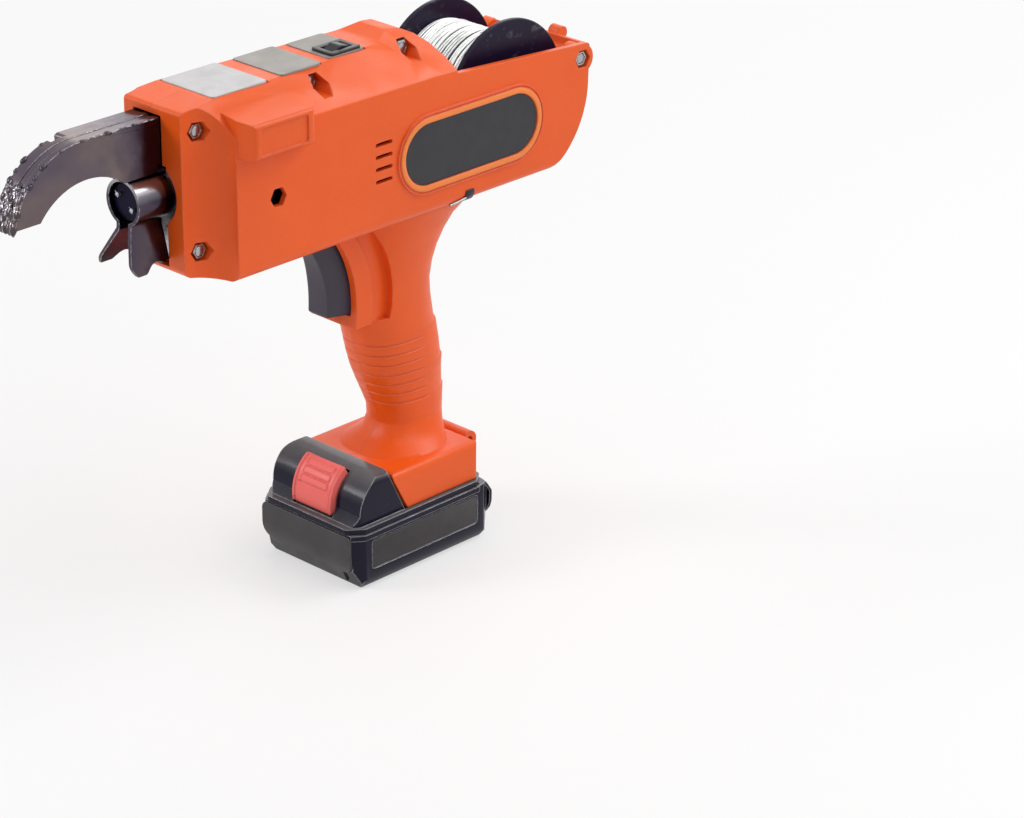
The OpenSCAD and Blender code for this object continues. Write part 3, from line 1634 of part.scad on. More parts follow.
// Side outline of the battery's rounded front
module hump_side() {
    gap = 2 * slide_gap;
    union() {
        translate([hump_x, hump_z]) circle(r = hump_r, $fn = 72);
        polygon([
            [foot_front_low_x + gap, deck_z - deck_h / 2],
            [hump_x + hump_r + hump_flare, deck_z - deck_h / 2], [hump_x + hump_r + hump_flare, deck_z],
            [hump_x + hump_r, hump_z], [hump_x, hump_z + hump_r],
            [foot_front_top_x + gap + edge_r, foot_top_z], [foot_front_top_x + gap, foot_top_z - edge_r]]);
    }
}

module battery_cover() {
    gap = 2 * slide_gap;
    color(black_colour) difference() {
        union() {
            along_z(tray_h, deck_z) tray_plan(rim_step, tray_shoulder);
            intersection() {
                along_y(-hump_half, hump_half) intersection() {
                    hump_side();
                    polygon([
                        [foot_front_low_x + gap, deck_z - deck_h / 2], [tray_l, deck_z - deck_h / 2],
                        [tray_l, foot_top_z + hump_r], [foot_front_top_x + gap, foot_top_z + hump_r],
                        [foot_front_top_x + gap, foot_top_z]]);
                }
                along_x(0, tray_l) polygon(rounded([
                    [-hump_half, deck_z - deck_h, 0], [hump_half, deck_z - deck_h, 0],
                    [hump_half, hump_z + hump_r, hump_edge_r], [-hump_half, hump_z + hump_r, hump_edge_r]]));
                along_z(0, belly_z) polygon(rounded([
                    [0, -hump_half, 0], [hump_x + hump_r + hump_flare, -hump_half, hump_edge_r],
                    [hump_x + hump_r + hump_flare, hump_half, hump_edge_r], [0, hump_half, 0]]));
            }
            box(rail_back_x, foot_front_top_x, -rail_neck_w / 2, rail_neck_w / 2,
                deck_z - deck_h / 2, rail_low_z + rail_t / 2);
            box(rail_back_x, foot_front_top_x, -rail_w / 2, rail_w / 2, rail_low_z, rail_top_z);
        }
        button_slot();
        translate([hump_x, 0, hump_z]) rotate([0, -latch_spring_turn, 0])
            rod_x(0, 0, latch_spring_r + latch_spring_wire, latch_seat_r, button_in_r);
        for (k = [-1 : 1])
            box(rail_back_x - over, rail_back_x + clip_l + 2 * clip_slot, k * clip_pitch - clip_slot / 2,
                k * clip_pitch + clip_slot / 2, rail_low_z + slide_gap, rail_top_z + over);
        for (s = [-1, 1])
            rod_z(rail_back_x + clip_l + 3 * rail_screw_r, s * clip_pitch, rail_screw_r,
                rail_top_z - rail_screw_deep, rail_top_z + over);
    }
}

// Part of a ring round the battery's rounded front
module hump_arc(r0, r1, a0, a1) {
    translate([hump_x, hump_z]) intersection() {
        difference() {
            circle(r = r1, $fn = 72);
            circle(r = r0, $fn = 72);
        }
        polygon([[0, 0], for (a = [a0, a1]) 2 * r1 * [cos(a), sin(a)]]);
    }
}

// Room for the release button, its arm and their travel
module button_slot() {
    half = button_w / 2 + slide_gap;
    along_y(-half, half) for (d = [0 : button_travel / press_steps : button_travel])
        translate(-d * [cos(press_a), sin(press_a)]) hump_arc(button_in_r - slide_gap,
            button_rim_r + slide_gap, button_low_a - button_gap_a, button_high_a + button_gap_a);
    arm_half = button_arm_half + slide_gap;
    box(tooth_x - button_travel, hump_x + button_slot_r, -arm_half, arm_half,
        rail_top_z - button_arm_h - button_travel, rail_top_z + over);
}

module battery_latch() {
    color("#f0504a") {
        along_y(-button_w / 2, button_w / 2)
            hump_arc(button_in_r, button_face_r, button_low_a, button_high_a);
        for (a = button_bar_angles) along_y(-button_w / 3, button_w / 3)
            hump_arc(button_in_r, button_rim_r, a - button_bar_a / 2, a + button_bar_a / 2);
        for (s = [0, 1]) mirror([0, s, 0]) along_y(button_w / 2 - button_frame_w, button_w / 2)
            hump_arc(button_in_r, button_rim_r, button_low_a, button_high_a);
        box(tooth_x, arm_end_x, -button_arm_half, button_arm_half,
            rail_top_z - button_arm_h, rail_top_z);
        box(tooth_x, tooth_x + tooth_l, -button_arm_half, button_arm_half, rail_top_z - button_arm_h,
            rail_top_z + tooth_up);
    }
}

latch_curls = 3;
module latch_spring() {
    color(bright_colour) translate([hump_x, 0, hump_z]) rotate([0, -latch_spring_turn, 0])
        coil_spring(latch_spring_r, latch_spring_wire,
            latch_seat_r, button_in_r - slide_gap, latch_curls);
}

module battery_clips() {
    color("#c9a24a") for (k = [-1 : 1])
        box(rail_back_x + clip_l + clip_slot / 2, rail_back_x + clip_l + 2 * clip_slot - seat_gap,
            k * clip_pitch - clip_slot / 2 + seat_gap, k * clip_pitch + clip_slot / 2 - seat_gap,
            rail_low_z + slide_gap, rail_low_z + slide_gap + clip_h);
}

module foot_contacts() {
    color("#c9a24a") {
        box(foot_slot_x, foot_slot_x + contact_block[0], -contact_block[1] / 2, contact_block[1] / 2,
            roof_z - contact_block[2], roof_z);
        for (k = [-1 : 1])
            box(foot_slot_x + contact_block[0], rail_back_x + clip_l, k * clip_pitch - clip_t / 2,
                k * clip_pitch + clip_t / 2, roof_z - contact_block[2],
                roof_z - contact_block[2] + clip_h - slide_gap);
    }
}

casing_left();
casing_right();
casing_screws();
casing_nuts();
jaw_left_plate();
jaw_right_plate();
jaw_core();
jaw_guide_block();
nose_frame();
front_bearing();
wire_funnel();
twist_head();
twist_shaft();
twist_gear();
motor_pinion();
motor_shaft();
twist_motor();
gear_plate_rear();
gear_plate_front();
feed_bracket();
feed_motor();
feed_shaft();
feed_wheel();
idler_axle();
idler_wheel();
wire_guide();
cutter_pin();
cutter_lever();
circuit_board();
trigger();
trigger_switch();
trigger_spring();
rocker_bezel();
rocker();
top_window();
top_label();
switch_label();
oval_plate();
spool();
spool_axle();
wire_core();
wire_winding();
battery_tray();
battery_cover();
battery_label();
battery_cells();
battery_clips();
battery_latch();
latch_spring();
foot_contacts();
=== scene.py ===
"""Looks of the rebar tying tool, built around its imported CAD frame. Sizes are in metres."""
import json
import math

import bmesh
import bpy
from mathutils import Matrix, Vector, noise


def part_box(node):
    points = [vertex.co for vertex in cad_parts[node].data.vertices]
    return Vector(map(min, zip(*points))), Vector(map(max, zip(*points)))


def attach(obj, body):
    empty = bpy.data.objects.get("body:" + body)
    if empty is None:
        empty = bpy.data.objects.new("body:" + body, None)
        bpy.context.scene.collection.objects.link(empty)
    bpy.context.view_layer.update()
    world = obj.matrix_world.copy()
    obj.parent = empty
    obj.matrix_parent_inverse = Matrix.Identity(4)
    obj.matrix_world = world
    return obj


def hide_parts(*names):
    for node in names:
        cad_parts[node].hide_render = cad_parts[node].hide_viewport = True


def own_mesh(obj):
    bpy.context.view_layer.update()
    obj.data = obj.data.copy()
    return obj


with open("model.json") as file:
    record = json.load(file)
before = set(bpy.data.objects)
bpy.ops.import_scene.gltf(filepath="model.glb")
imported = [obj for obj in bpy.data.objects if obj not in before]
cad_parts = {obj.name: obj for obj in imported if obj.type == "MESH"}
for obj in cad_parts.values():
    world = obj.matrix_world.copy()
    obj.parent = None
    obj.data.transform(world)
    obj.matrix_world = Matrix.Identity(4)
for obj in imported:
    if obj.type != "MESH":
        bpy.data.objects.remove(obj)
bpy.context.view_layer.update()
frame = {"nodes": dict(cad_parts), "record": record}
NODES = frame["nodes"]
MM = 0.001

# Camera of the photograph, solved in the part's frame
IMAGE_W = 1024
VIEW_RANGE = (0.01, 100)
FOCAL_PX = 3586.6
SENSOR_W = 36.0
CAMERA_AT = Vector((0.9183, 0.9571, 0.6561))
CAMERA_YAW = math.radians(43.81)
CAMERA_PITCH = math.radians(24.21)
CAMERA_ROLL = math.radians(0.35)

# Stage: the floor's lift towards white grows from FLOOR_LIFT to 1 over the distances of FLOOR_REACH
FLOOR_SIZE = 12.0
FLOOR_DROP = 0.2 * MM
FLOOR_COLOUR = (0.9, 0.9, 0.9, 1)
FLOOR_LIFT = 0.55
FLOOR_REACH = (0.3, 1.6)
AMBIENT = 0.41
TARGET = Vector((0.03, 0, 0.13))
# Each lamp: name, place, size and power in watts
LAMPS = [
    ("lamp_top", Vector((0.15, 0.1, 1.7)), (1.4, 1.1), 4.3),
    ("lamp_front", Vector((1.25, -0.95, 0.95)), (0.6, 0.6), 9.5),
    ("lamp_side", Vector((-0.28, 0.85, 0.95)), (0.7, 0.6), 3.1),
    ("lamp_strip", Vector((-1.05, 0.5, 1.25)), (0.9, 0.3), 8.5),
    ("lamp_back", Vector((-1.3, -1.1, 1.0)), (1.0, 1.0), 3.2),
]

# Softening of edges: distance that joins corners, angles that count as an edge, and steps of a round
WELD_DISTANCE = 2e-6
SOFT_ANGLE = math.radians(32)
SMOOTH_ANGLE = math.radians(38)
BEVEL_STEPS = 3
FACE_WEIGHT = 60
EDGE_SAMPLES = 4


# Node helpers for materials
class Shader:
    """One procedural material: a principled shader with helpers that add its texture nodes."""

    def __init__(self, name):
        self.material = bpy.data.materials.new(name)
        self.material.use_nodes = True
        self.tree = self.material.node_tree
        self.tree.nodes.clear()
        self.out = self.add("ShaderNodeOutputMaterial")
        self.bsdf = self.add("ShaderNodeBsdfPrincipled")
        self.link(self.bsdf.outputs["BSDF"], self.out.inputs["Surface"])
        where = self.add("ShaderNodeTexCoord").outputs
        self.place, self.facing = where["Object"], where["Normal"]
        self.rounded = None

    def add(self, kind):
        return self.tree.nodes.new(kind)

    def link(self, out, into):
        self.tree.links.new(out, into)

    def set(self, **sockets):
        """Constants on the shader's own sockets, with _ for each space in a socket's name."""
        for name, value in sockets.items():
            self.bsdf.inputs[name.replace("_", " ")].default_value = value

    def stretched(self, scale):
        """Object coordinates stretched by a scale for each axis."""
        node = self.add("ShaderNodeMapping")
        node.inputs["Scale"].default_value = scale
        self.link(self.place, node.inputs["Vector"])
        return node.outputs["Vector"]

    def noise(self, size, detail=4.0, rough=0.55, place=None):
        """Noise whose grain is about size metres across."""
        node = self.add("ShaderNodeTexNoise")
        node.inputs["Scale"].default_value = 1 / size
        node.inputs["Detail"].default_value = detail
        node.inputs["Roughness"].default_value = rough
        self.link(place or self.place, node.inputs["Vector"])
        return node.outputs["Fac"]

    def axis(self, letter, vector=None):
        """Part x, y or z of a vector, which is the place in object coordinates unless given."""
        node = self.add("ShaderNodeSeparateXYZ")
        self.link(vector or self.place, node.inputs["Vector"])
        return node.outputs[letter.upper()]

    def cells(self, size, feature="F1"):
        node = self.add("ShaderNodeTexVoronoi")
        node.feature = feature
        node.inputs["Scale"].default_value = 1 / size
        self.link(self.place, node.inputs["Vector"])
        return node.outputs["Distance"]

    def band(self, fac, low, high, start=0.0, end=1.0):
        """fac mapped from low..high to start..end, held at the ends."""
        node = self.add("ShaderNodeMapRange")
        self.link(fac, node.inputs["Value"])
        for name, value in (("From Min", low), ("From Max", high), ("To Min", start), ("To Max", end)):
            node.inputs[name].default_value = value
        return node.outputs["Result"]

    def mix(self, fac, first, second):
        """Colour between first and second, which are colours or sockets."""
        node = self.add("ShaderNodeMix")
        node.data_type = "RGBA"
        self.link(fac, node.inputs["Factor"])
        for socket, value in ((node.inputs[6], first), (node.inputs[7], second)):
            if isinstance(value, tuple):
                socket.default_value = (*value, 1)
            else:
                self.link(value, socket)
        return node.outputs[2]

    def both(self, a, b, operation="MULTIPLY"):
        node = self.add("ShaderNodeMath")
        node.operation = operation
        self.link(a, node.inputs[0])
        self.link(b, node.inputs[1])
        return node.outputs["Value"]

    def edges(self, radius, low, high):
        """Mask that is 1 along outer and inner edges within radius, which the bumps then round."""
        bevel = self.add("ShaderNodeBevel")
        bevel.samples = EDGE_SAMPLES
        bevel.inputs["Radius"].default_value = radius
        plain = self.add("ShaderNodeNewGeometry")
        dot = self.add("ShaderNodeVectorMath")
        dot.operation = "DOT_PRODUCT"
        self.link(bevel.outputs["Normal"], dot.inputs[0])
        self.link(plain.outputs["Normal"], dot.inputs[1])
        self.rounded = bevel.outputs["Normal"]
        return self.band(dot.outputs["Value"], high, low)

    def colour(self, socket):
        self.link(socket, self.bsdf.inputs["Base Color"])

    def roughness(self, socket):
        self.link(socket, self.bsdf.inputs["Roughness"])

    def bump(self, *heights):
        """Stacked bumps over the rounded edges, each a (height socket, depth in metres)."""
        normal = self.rounded
        for height, depth in heights:
            node = self.add("ShaderNodeBump")
            node.inputs["Distance"].default_value = depth
            self.link(height, node.inputs["Height"])
            if normal is not None:
                self.link(normal, node.inputs["Normal"])
            normal = node.outputs["Normal"]
        self.link(normal, self.bsdf.inputs["Normal"])


def shade(colour, factor):
    return tuple(min(1.0, c * factor) for c in colour)


def paler(colour, share):
    """Colour moved by a share of the way to white."""
    return tuple(c + (1 - c) * share for c in colour)


# Scuffs of moulded plastic: the noise at which they start and are full, and their strength
FAINT_SCUFFS = (0.62, 0.72, 0.25)
STRONG_SCUFFS = (0.55, 0.7, 0.6)
# Colours of dust, of a painted sheen on what faces up, and of painted highlights along edges and on
# polished metal
DUST = (0.4, 0.4, 0.4)
UPWARD_SHEEN = (0.34, 0.34, 0.34)
GLOSS_EDGE_HIGHLIGHT = (0.62, 0.62, 0.65)
STEEL_HIGHLIGHT = (0.55, 0.55, 0.57)
STEEL_EDGE_HIGHLIGHT = (0.8, 0.79, 0.78)


def moulded_plastic(name, colour, rough, worn=0.35, scuff_colour=None, scuffs=FAINT_SCUFFS, shine=0.36):
    """Moulded plastic with a fine spark-eroded grain, slow colour drift, paler edges and scuffs."""
    s = Shader(name)
    rubbed = shade(colour, 1.25)
    base = s.mix(s.band(s.noise(60 * MM, 3), 0.3, 0.7), shade(colour, 0.93), shade(colour, 1.05))
    speck = s.band(s.noise(0.7 * MM, 2), 0.35, 0.7, 0, 0.12)
    base = s.mix(speck, base, shade(colour, 0.72))
    start, full, strength = scuffs
    scuff = s.band(s.noise(9 * MM, 8, 0.7, s.stretched((1, 0.25, 1.6))), start, full, 0, strength)
    base = s.mix(scuff, base, scuff_colour or rubbed)
    edge = s.both(s.edges(0.7 * MM, 0.9, 0.995), s.band(s.noise(4 * MM, 5), 0.3, 0.7, 0.3, 1.0))
    base = s.mix(s.band(edge, 0, 1, 0, worn), base, paler(rubbed, 0.25))
    s.colour(base)
    s.roughness(s.band(s.noise(14 * MM, 6), 0.3, 0.7, rough - 0.06, rough + 0.07))
    s.set(Specular_IOR_Level=shine)
    s.bump((s.noise(0.5 * MM, 3), 0.02 * MM), (s.noise(25 * MM, 2), 0.1 * MM))
    return s.material


def gloss_plastic(name, colour, rough):
    """Polished plastic with slight ripple, dust specks, a pale painted sheen on what faces up and painted
    highlights on its edges.
    """
    s = Shader(name)
    base = s.mix(s.band(s.noise(40 * MM, 3), 0.3, 0.7), shade(colour, 0.85), shade(colour, 1.2))
    speck = s.band(s.cells(2.6 * MM), 0.0, 0.09, 1, 0)
    dusty = s.band(s.noise(7 * MM, 2), 0.5, 0.62, 0, 0.25)
    base = s.mix(s.both(speck, dusty), base, DUST)
    # Painted sheen: what faces up turns paler in patches, for the lights reflected in the gloss.
    patchy = s.band(s.noise(11 * MM, 5), 0.3, 0.7, 0.85, 1.05)
    painted_sheen = s.band(s.both(s.axis("z", s.facing), patchy), 0.3, 1, 0, 0.38)
    base = s.mix(painted_sheen, base, UPWARD_SHEEN)
    # Painted highlight: the edges turn pale, for light caught on the rounded ridges.
    edge = s.both(s.edges(0.6 * MM, 0.88, 0.99), s.band(s.noise(5 * MM, 4), 0.3, 0.6, 0.45, 1.0))
    base = s.mix(edge, base, GLOSS_EDGE_HIGHLIGHT)
    s.colour(base)
    smear = s.noise(18 * MM, 7, 0.65, s.stretched((1, 1, 0.4)))
    s.roughness(s.band(smear, 0.35, 0.75, rough, rough + 0.16))
    s.bump((s.noise(22 * MM, 2), 0.12 * MM), (s.noise(0.5 * MM, 2), 0.004 * MM))
    s.set(Specular_IOR_Level=0.19)
    return s.material


def dark_nickel(name, colour, rough, edge_highlight=0.85, shade_reach=22 * MM, highlight_band=None):
    """Steel under glossy dark nickel, with smudges, painted shade near the nose and painted edge
    highlights.

    shade_reach is how far from the nose the painted shade reaches, highlight_band the pair of heights
    between which the nickel is painted brighter as a highlight, and edge_highlight the strength of the
    painted highlights on the edges.
    """
    s = Shader(name)
    s.set(Metallic=1.0)
    warm = (colour[0] * 1.15, colour[1] * 0.98, colour[2] * 0.92)
    violet = (colour[0] * 0.72, colour[1] * 0.66, colour[2] * 0.86)
    base = s.mix(s.band(s.noise(28 * MM, 3), 0.36, 0.64), violet, warm)
    smudge = s.band(s.noise(6 * MM, 6, 0.65), 0.4, 0.75, 0, 0.35)
    base = s.mix(smudge, base, shade(colour, 0.6))
    nose_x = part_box("casing_left")[1].x
    # Painted shade: the colour darkens towards the nose, for the shade and dim reflections there.
    near = s.band(s.both(s.axis("x"), s.band(s.noise(9 * MM, 2), 0, 1, -9 * MM, 9 * MM), "ADD"),
                  nose_x + 0.3 * shade_reach, nose_x + shade_reach, 0.9, 0)
    base = s.mix(near, base, (colour[0] * 0.2, colour[1] * 0.12, colour[2] * 0.24))
    # Painted highlight: the nickel brightens between two heights, for light reflected on the funnel's upper
    # tube.
    if highlight_band:
        base = s.mix(s.band(s.axis("z"), *highlight_band, 0, 0.5), base, STEEL_HIGHLIGHT)
    # Painted highlight: the edges turn bright, for light caught on the cut edges.
    edge = s.both(s.edges(0.45 * MM, 0.88, 0.99), s.band(s.noise(1.6 * MM, 4), 0.35, 0.65))
    base = s.mix(s.band(edge, 0, 1, 0, edge_highlight), base, STEEL_EDGE_HIGHLIGHT)
    s.colour(base)
    s.roughness(s.band(s.noise(10 * MM, 7, 0.65), 0.3, 0.75, rough, rough + 0.16))
    s.bump((s.noise(16 * MM, 3), 0.16 * MM), (s.noise(0.9 * MM, 4), 0.012 * MM))
    return s.material


def oxide_head(name):
    """Blue-black oxide on the turning head, with the two studs rubbed bright."""
    s = Shader(name)
    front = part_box("twist_head")[1].x
    drift = s.mix(s.band(s.noise(5 * MM, 4), 0.35, 0.65), (0.003, 0.002, 0.014), (0.006, 0.004, 0.024))
    stud = s.band(s.axis("x"), front - 1.3 * MM, front - 1.1 * MM)
    bright = s.mix(s.band(s.noise(0.4 * MM, 3), 0.35, 0.65), (0.4, 0.42, 0.5), (0.68, 0.7, 0.76))
    s.colour(s.mix(stud, drift, bright))
    s.link(stud, s.bsdf.inputs["Metallic"])
    s.roughness(s.band(s.noise(3 * MM, 5), 0.3, 0.7, 0.2, 0.38))
    s.bump((s.noise(0.6 * MM, 3), 0.01 * MM))
    s.set(Specular_IOR_Level=0.06)
    return s.material


def plated_steel(name, colour, rough, grain=(1, 1, 1)):
    """Machined or plated steel with fine tool lines and dull patches."""
    s = Shader(name)
    s.set(Metallic=1.0)
    lines = s.noise(0.5 * MM, 3, 0.6, s.stretched(grain))
    base = s.mix(s.band(lines, 0.3, 0.7), shade(colour, 0.78), shade(colour, 1.12))
    stain = s.band(s.noise(3 * MM, 6, 0.6), 0.55, 0.75, 0, 0.5)
    s.colour(s.mix(stain, base, shade(colour, 0.45)))
    s.roughness(s.band(s.noise(2 * MM, 5), 0.3, 0.7, rough - 0.08, rough + 0.14))
    s.bump((lines, 0.02 * MM))
    return s.material


def film(name, colour, rough):
    """Film or label stock left bare: soft mottling, fine fibres and lifted pale edges."""
    s = Shader(name)
    fibre = 0.9 * MM
    mottle = s.band(s.noise(7 * MM, 5), 0.3, 0.7)
    base = s.mix(mottle, shade(colour, 0.9), shade(colour, 1.08))
    fibres = s.band(s.noise(fibre, 4, 0.7, s.stretched((1, 3.5, 1))), 0.45, 0.75, 0, 0.22)
    base = s.mix(fibres, base, shade(colour, 0.7))
    edge = s.both(s.edges(0.4 * MM, 0.9, 0.995), s.band(s.noise(2 * MM, 3), 0.35, 0.65))
    base = s.mix(s.band(edge, 0, 1, 0, 0.5), base, paler(colour, 0.35))
    s.colour(base)
    s.roughness(s.band(s.noise(12 * MM, 5), 0.3, 0.7, rough - 0.08, rough + 0.1))
    s.bump((s.noise(fibre, 3), 0.008 * MM), (s.noise(9 * MM, 2), 0.08 * MM))
    s.set(Specular_IOR_Level=0.28)
    return s.material


def circuit_mask(name):
    """Green solder mask with paler tracks."""
    s = Shader(name)
    track = s.band(s.cells(3.5 * MM, "DISTANCE_TO_EDGE"), 0.02, 0.06, 1, 0)
    s.colour(s.mix(track, (0.02, 0.13, 0.05), (0.06, 0.27, 0.1)))
    s.roughness(s.band(s.noise(4 * MM), 0.3, 0.7, 0.25, 0.45))
    s.bump((track, 0.03 * MM))
    return s.material


# Look of each material slot of the record
MATERIALS = {
    "casing": moulded_plastic("orange_plastic", (0.870, 0.106, 0.006), 0.4),
    "zinc": plated_steel("zinc_steel", (0.42, 0.43, 0.45), 0.2),
    "jaw_steel": dark_nickel("dark_nickel", (0.150, 0.132, 0.134), 0.12),
    "machined_steel": plated_steel("machined_steel", (0.5, 0.51, 0.53), 0.28, (1, 0.1, 1)),
    "motor_can": plated_steel("motor_steel", (0.24, 0.25, 0.27), 0.35, (0.1, 1, 1)),
    "board": circuit_mask("circuit_mask"),
    "trigger_grey": moulded_plastic("grey_plastic", (0.045, 0.038, 0.060), 0.38, worn=0.15),
    "switch_black": moulded_plastic("black_plastic", (0.014, 0.013, 0.017), 0.34, worn=0.22),
    "window": film("pale_film", (0.57, 0.555, 0.555), 0.45),
    "label": film("grey_film", (0.32, 0.295, 0.272), 0.42),
    "slate": film("slate_film", (0.034, 0.034, 0.040), 0.42),
    "spool_black": moulded_plastic("spool_plastic", (0.012, 0.006, 0.026), 0.33, worn=0.2,
                                   scuff_colour=(0.17, 0.16, 0.19), scuffs=STRONG_SCUFFS, shine=0.16),
    "tie_wire": plated_steel("galvanised_wire", (0.87, 0.88, 0.87), 0.36),
    "battery_black": gloss_plastic("battery_plastic", (0.006, 0.005, 0.019), 0.1),
    "panel_grey": film("panel_film", (0.052, 0.048, 0.052), 0.4),
    "cell": gloss_plastic("cell_sleeve", (0.05, 0.20, 0.33), 0.25),
    "contact": plated_steel("brass_contact", (0.70, 0.50, 0.20), 0.3),
    "latch_red": moulded_plastic("red_plastic", (0.97, 0.165, 0.145), 0.36, worn=0.3),
}
SLOT_OF = {p["node"]: p["material_slot"] for p in frame["record"]["subparts"]}
# Looks of pieces and nodes that differ from the rest of their slot, by finish or by painted light and shade
# The weld crust takes the painted edge highlights at full strength.
WELD_LOOK = dark_nickel("weld_crust", (0.085, 0.076, 0.08), 0.1, 1.0)
# Dark wire for the spool's lower layers and core: painted shade between the strands.
SHADED_WIRE = plated_steel("shaded_wire", (0.13, 0.13, 0.14), 0.5)
RIM_LOOK = moulded_plastic("pale_orange_plastic", (0.93, 0.24, 0.04), 0.34)
HEAD_Z = sum(v.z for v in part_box("twist_head")) / 2
OWN_LOOKS = {
    # The funnel's nickel carries painted shade near the nose and a painted highlight on its upper tube.
    "wire_funnel": dark_nickel("funnel_nickel", (0.09, 0.078, 0.094), 0.12, 1.0, 11 * MM,
                               (HEAD_Z + 1 * MM, HEAD_Z + 7 * MM)),
    "twist_head": oxide_head("head_oxide"),
}


# Softened edges on CAD nodes, by modifiers alone
def geometry_group(name):
    """Empty geometry-node group with its input and output, and the two end sockets."""
    group = bpy.data.node_groups.new(name, "GeometryNodeTree")
    for way in ("INPUT", "OUTPUT"):
        group.interface.new_socket("Geometry", in_out=way, socket_type="NodeSocketGeometry")
    first = group.nodes.new("NodeGroupInput").outputs[0]
    last = group.nodes.new("NodeGroupOutput").inputs[0]
    return group, first, last


def joining_group():
    """Joins the split corners of an imported mesh and drops its stored normals."""
    group, first, last = geometry_group("join_corners")
    merge = group.nodes.new("GeometryNodeMergeByDistance")
    merge.inputs["Distance"].default_value = WELD_DISTANCE
    drop = group.nodes.new("GeometryNodeRemoveAttribute")
    drop.inputs["Name"].default_value = "custom_normal"
    group.links.new(first, merge.inputs["Geometry"])
    group.links.new(merge.outputs["Geometry"], drop.inputs["Geometry"])
    group.links.new(drop.outputs["Geometry"], last)
    return group


def smoothing_group():
    """Shades smooth, apart from edges sharper than SMOOTH_ANGLE."""
    group, first, last = geometry_group("smooth_by_angle")
    faces = group.nodes.new("GeometryNodeSetShadeSmooth")
    faces.domain = "FACE"
    angle = group.nodes.new("GeometryNodeInputMeshEdgeAngle")
    sharp = group.nodes.new("FunctionNodeCompare")
    sharp.operation = "GREATER_THAN"
    sharp.inputs["B"].default_value = SMOOTH_ANGLE
    edges = group.nodes.new("GeometryNodeSetShadeSmooth")
    edges.domain = "EDGE"
    edges.inputs["Shade Smooth"].default_value = False
    group.links.new(first, faces.inputs["Geometry"])
    group.links.new(angle.outputs["Unsigned Angle"], sharp.inputs["A"])
    group.links.new(sharp.outputs["Result"], edges.inputs["Selection"])
    group.links.new(faces.outputs["Geometry"], edges.inputs["Geometry"])
    group.links.new(edges.outputs["Geometry"], last)
    return group


JOIN_CORNERS = joining_group()
SMOOTH_BY_ANGLE = smoothing_group()


def soften(obj, width):
    """Rounds the edges sharper than SOFT_ANGLE by width, with modifiers."""
    obj.modifiers.new("join", "NODES").node_group = JOIN_CORNERS
    if width > 0:
        bevel = obj.modifiers.new("soften", "BEVEL")
        bevel.width = width
        bevel.segments = BEVEL_STEPS
        bevel.limit_method = "ANGLE"
        bevel.angle_limit = SOFT_ANGLE
        bevel.use_clamp_overlap = False
        bevel.miter_outer = "MITER_ARC"
    obj.modifiers.new("smooth", "NODES").node_group = SMOOTH_BY_ANGLE
    flat = obj.modifiers.new("flat", "WEIGHTED_NORMAL")
    flat.keep_sharp = True
    flat.weight = FACE_WEIGHT


# Width of the softened edges of the small CAD nodes that show. The large shells are rounded in the
# source, and their materials round the rest.
SOFT_EDGES = {
    "jaw_left_plate": 0.3 * MM, "jaw_right_plate": 0.3 * MM, "jaw_core": 0.15 * MM,
    "jaw_guide_block": 0.4 * MM, "wire_funnel": 0.25 * MM, "twist_head": 0.3 * MM,
    "trigger": 0.9 * MM, "rocker_bezel": 0.3 * MM, "rocker": 0.25 * MM,
    "top_window": 0.2 * MM, "top_label": 0.15 * MM, "switch_label": 0.15 * MM, "oval_plate": 0.2 * MM,
    "spool": 0.5 * MM, "battery_label": 0.3 * MM, "battery_latch": 0.45 * MM,
}


def dress_cad_nodes():
    for name, obj in NODES.items():
        obj.data.materials.clear()
        obj.data.materials.append(OWN_LOOKS.get(name) or MATERIALS[SLOT_OF[name]])
        soften(obj, SOFT_EDGES.get(name, 0))


# Steps that spread things evenly without a pattern
SPREAD = (0.8192, 0.6710, 0.5497)


# Mesh helpers
def piece(name, bm, slot, body, replaced=(), smooth=SMOOTH_ANGLE, look=None):
    """Makes a bmesh in the part's frame a named piece that rides a body, in its slot's look or its own."""
    mesh = bpy.data.meshes.new(name)
    bm.normal_update()
    bm.to_mesh(mesh)
    bm.free()
    mesh.polygons.foreach_set("use_smooth", [True] * len(mesh.polygons))
    mesh.set_sharp_from_angle(angle=smooth)
    mesh.materials.append(look or MATERIALS[slot])
    obj = bpy.data.objects.new(name, mesh)
    bpy.context.scene.collection.objects.link(obj)
    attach(obj, body)
    if replaced:
        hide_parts(*replaced)
    return obj


def solids_of(node):
    """(lowest, highest) corner of each separate solid of a CAD node, in the order of their x."""
    mesh = NODES[node].data
    root = {}

    def find(key):
        while root[key] != key:
            key = root[key]
        return key

    keys = [tuple(round(c / WELD_DISTANCE) for c in v.co) for v in mesh.vertices]
    for key in keys:
        root.setdefault(key, key)
    for edge in mesh.edges:
        a, b = (find(keys[i]) for i in edge.vertices)
        root[a] = b
    groups = {}
    for key, vertex in zip(keys, mesh.vertices):
        groups.setdefault(find(key), []).append(vertex.co)
    boxes = [tuple(Vector([pick(c[i] for c in g) for i in range(3)]) for pick in (min, max))
             for g in groups.values()]
    return sorted(boxes, key=lambda b: (b[0].x, b[0].z))


def bridge(bm, rings):
    """Bands of faces from each ring of vertices to the next."""
    for low, high in zip(rings, rings[1:]):
        n = len(low)
        for k in range(n):
            bm.faces.new((low[k], low[(k + 1) % n], high[(k + 1) % n], high[k]))


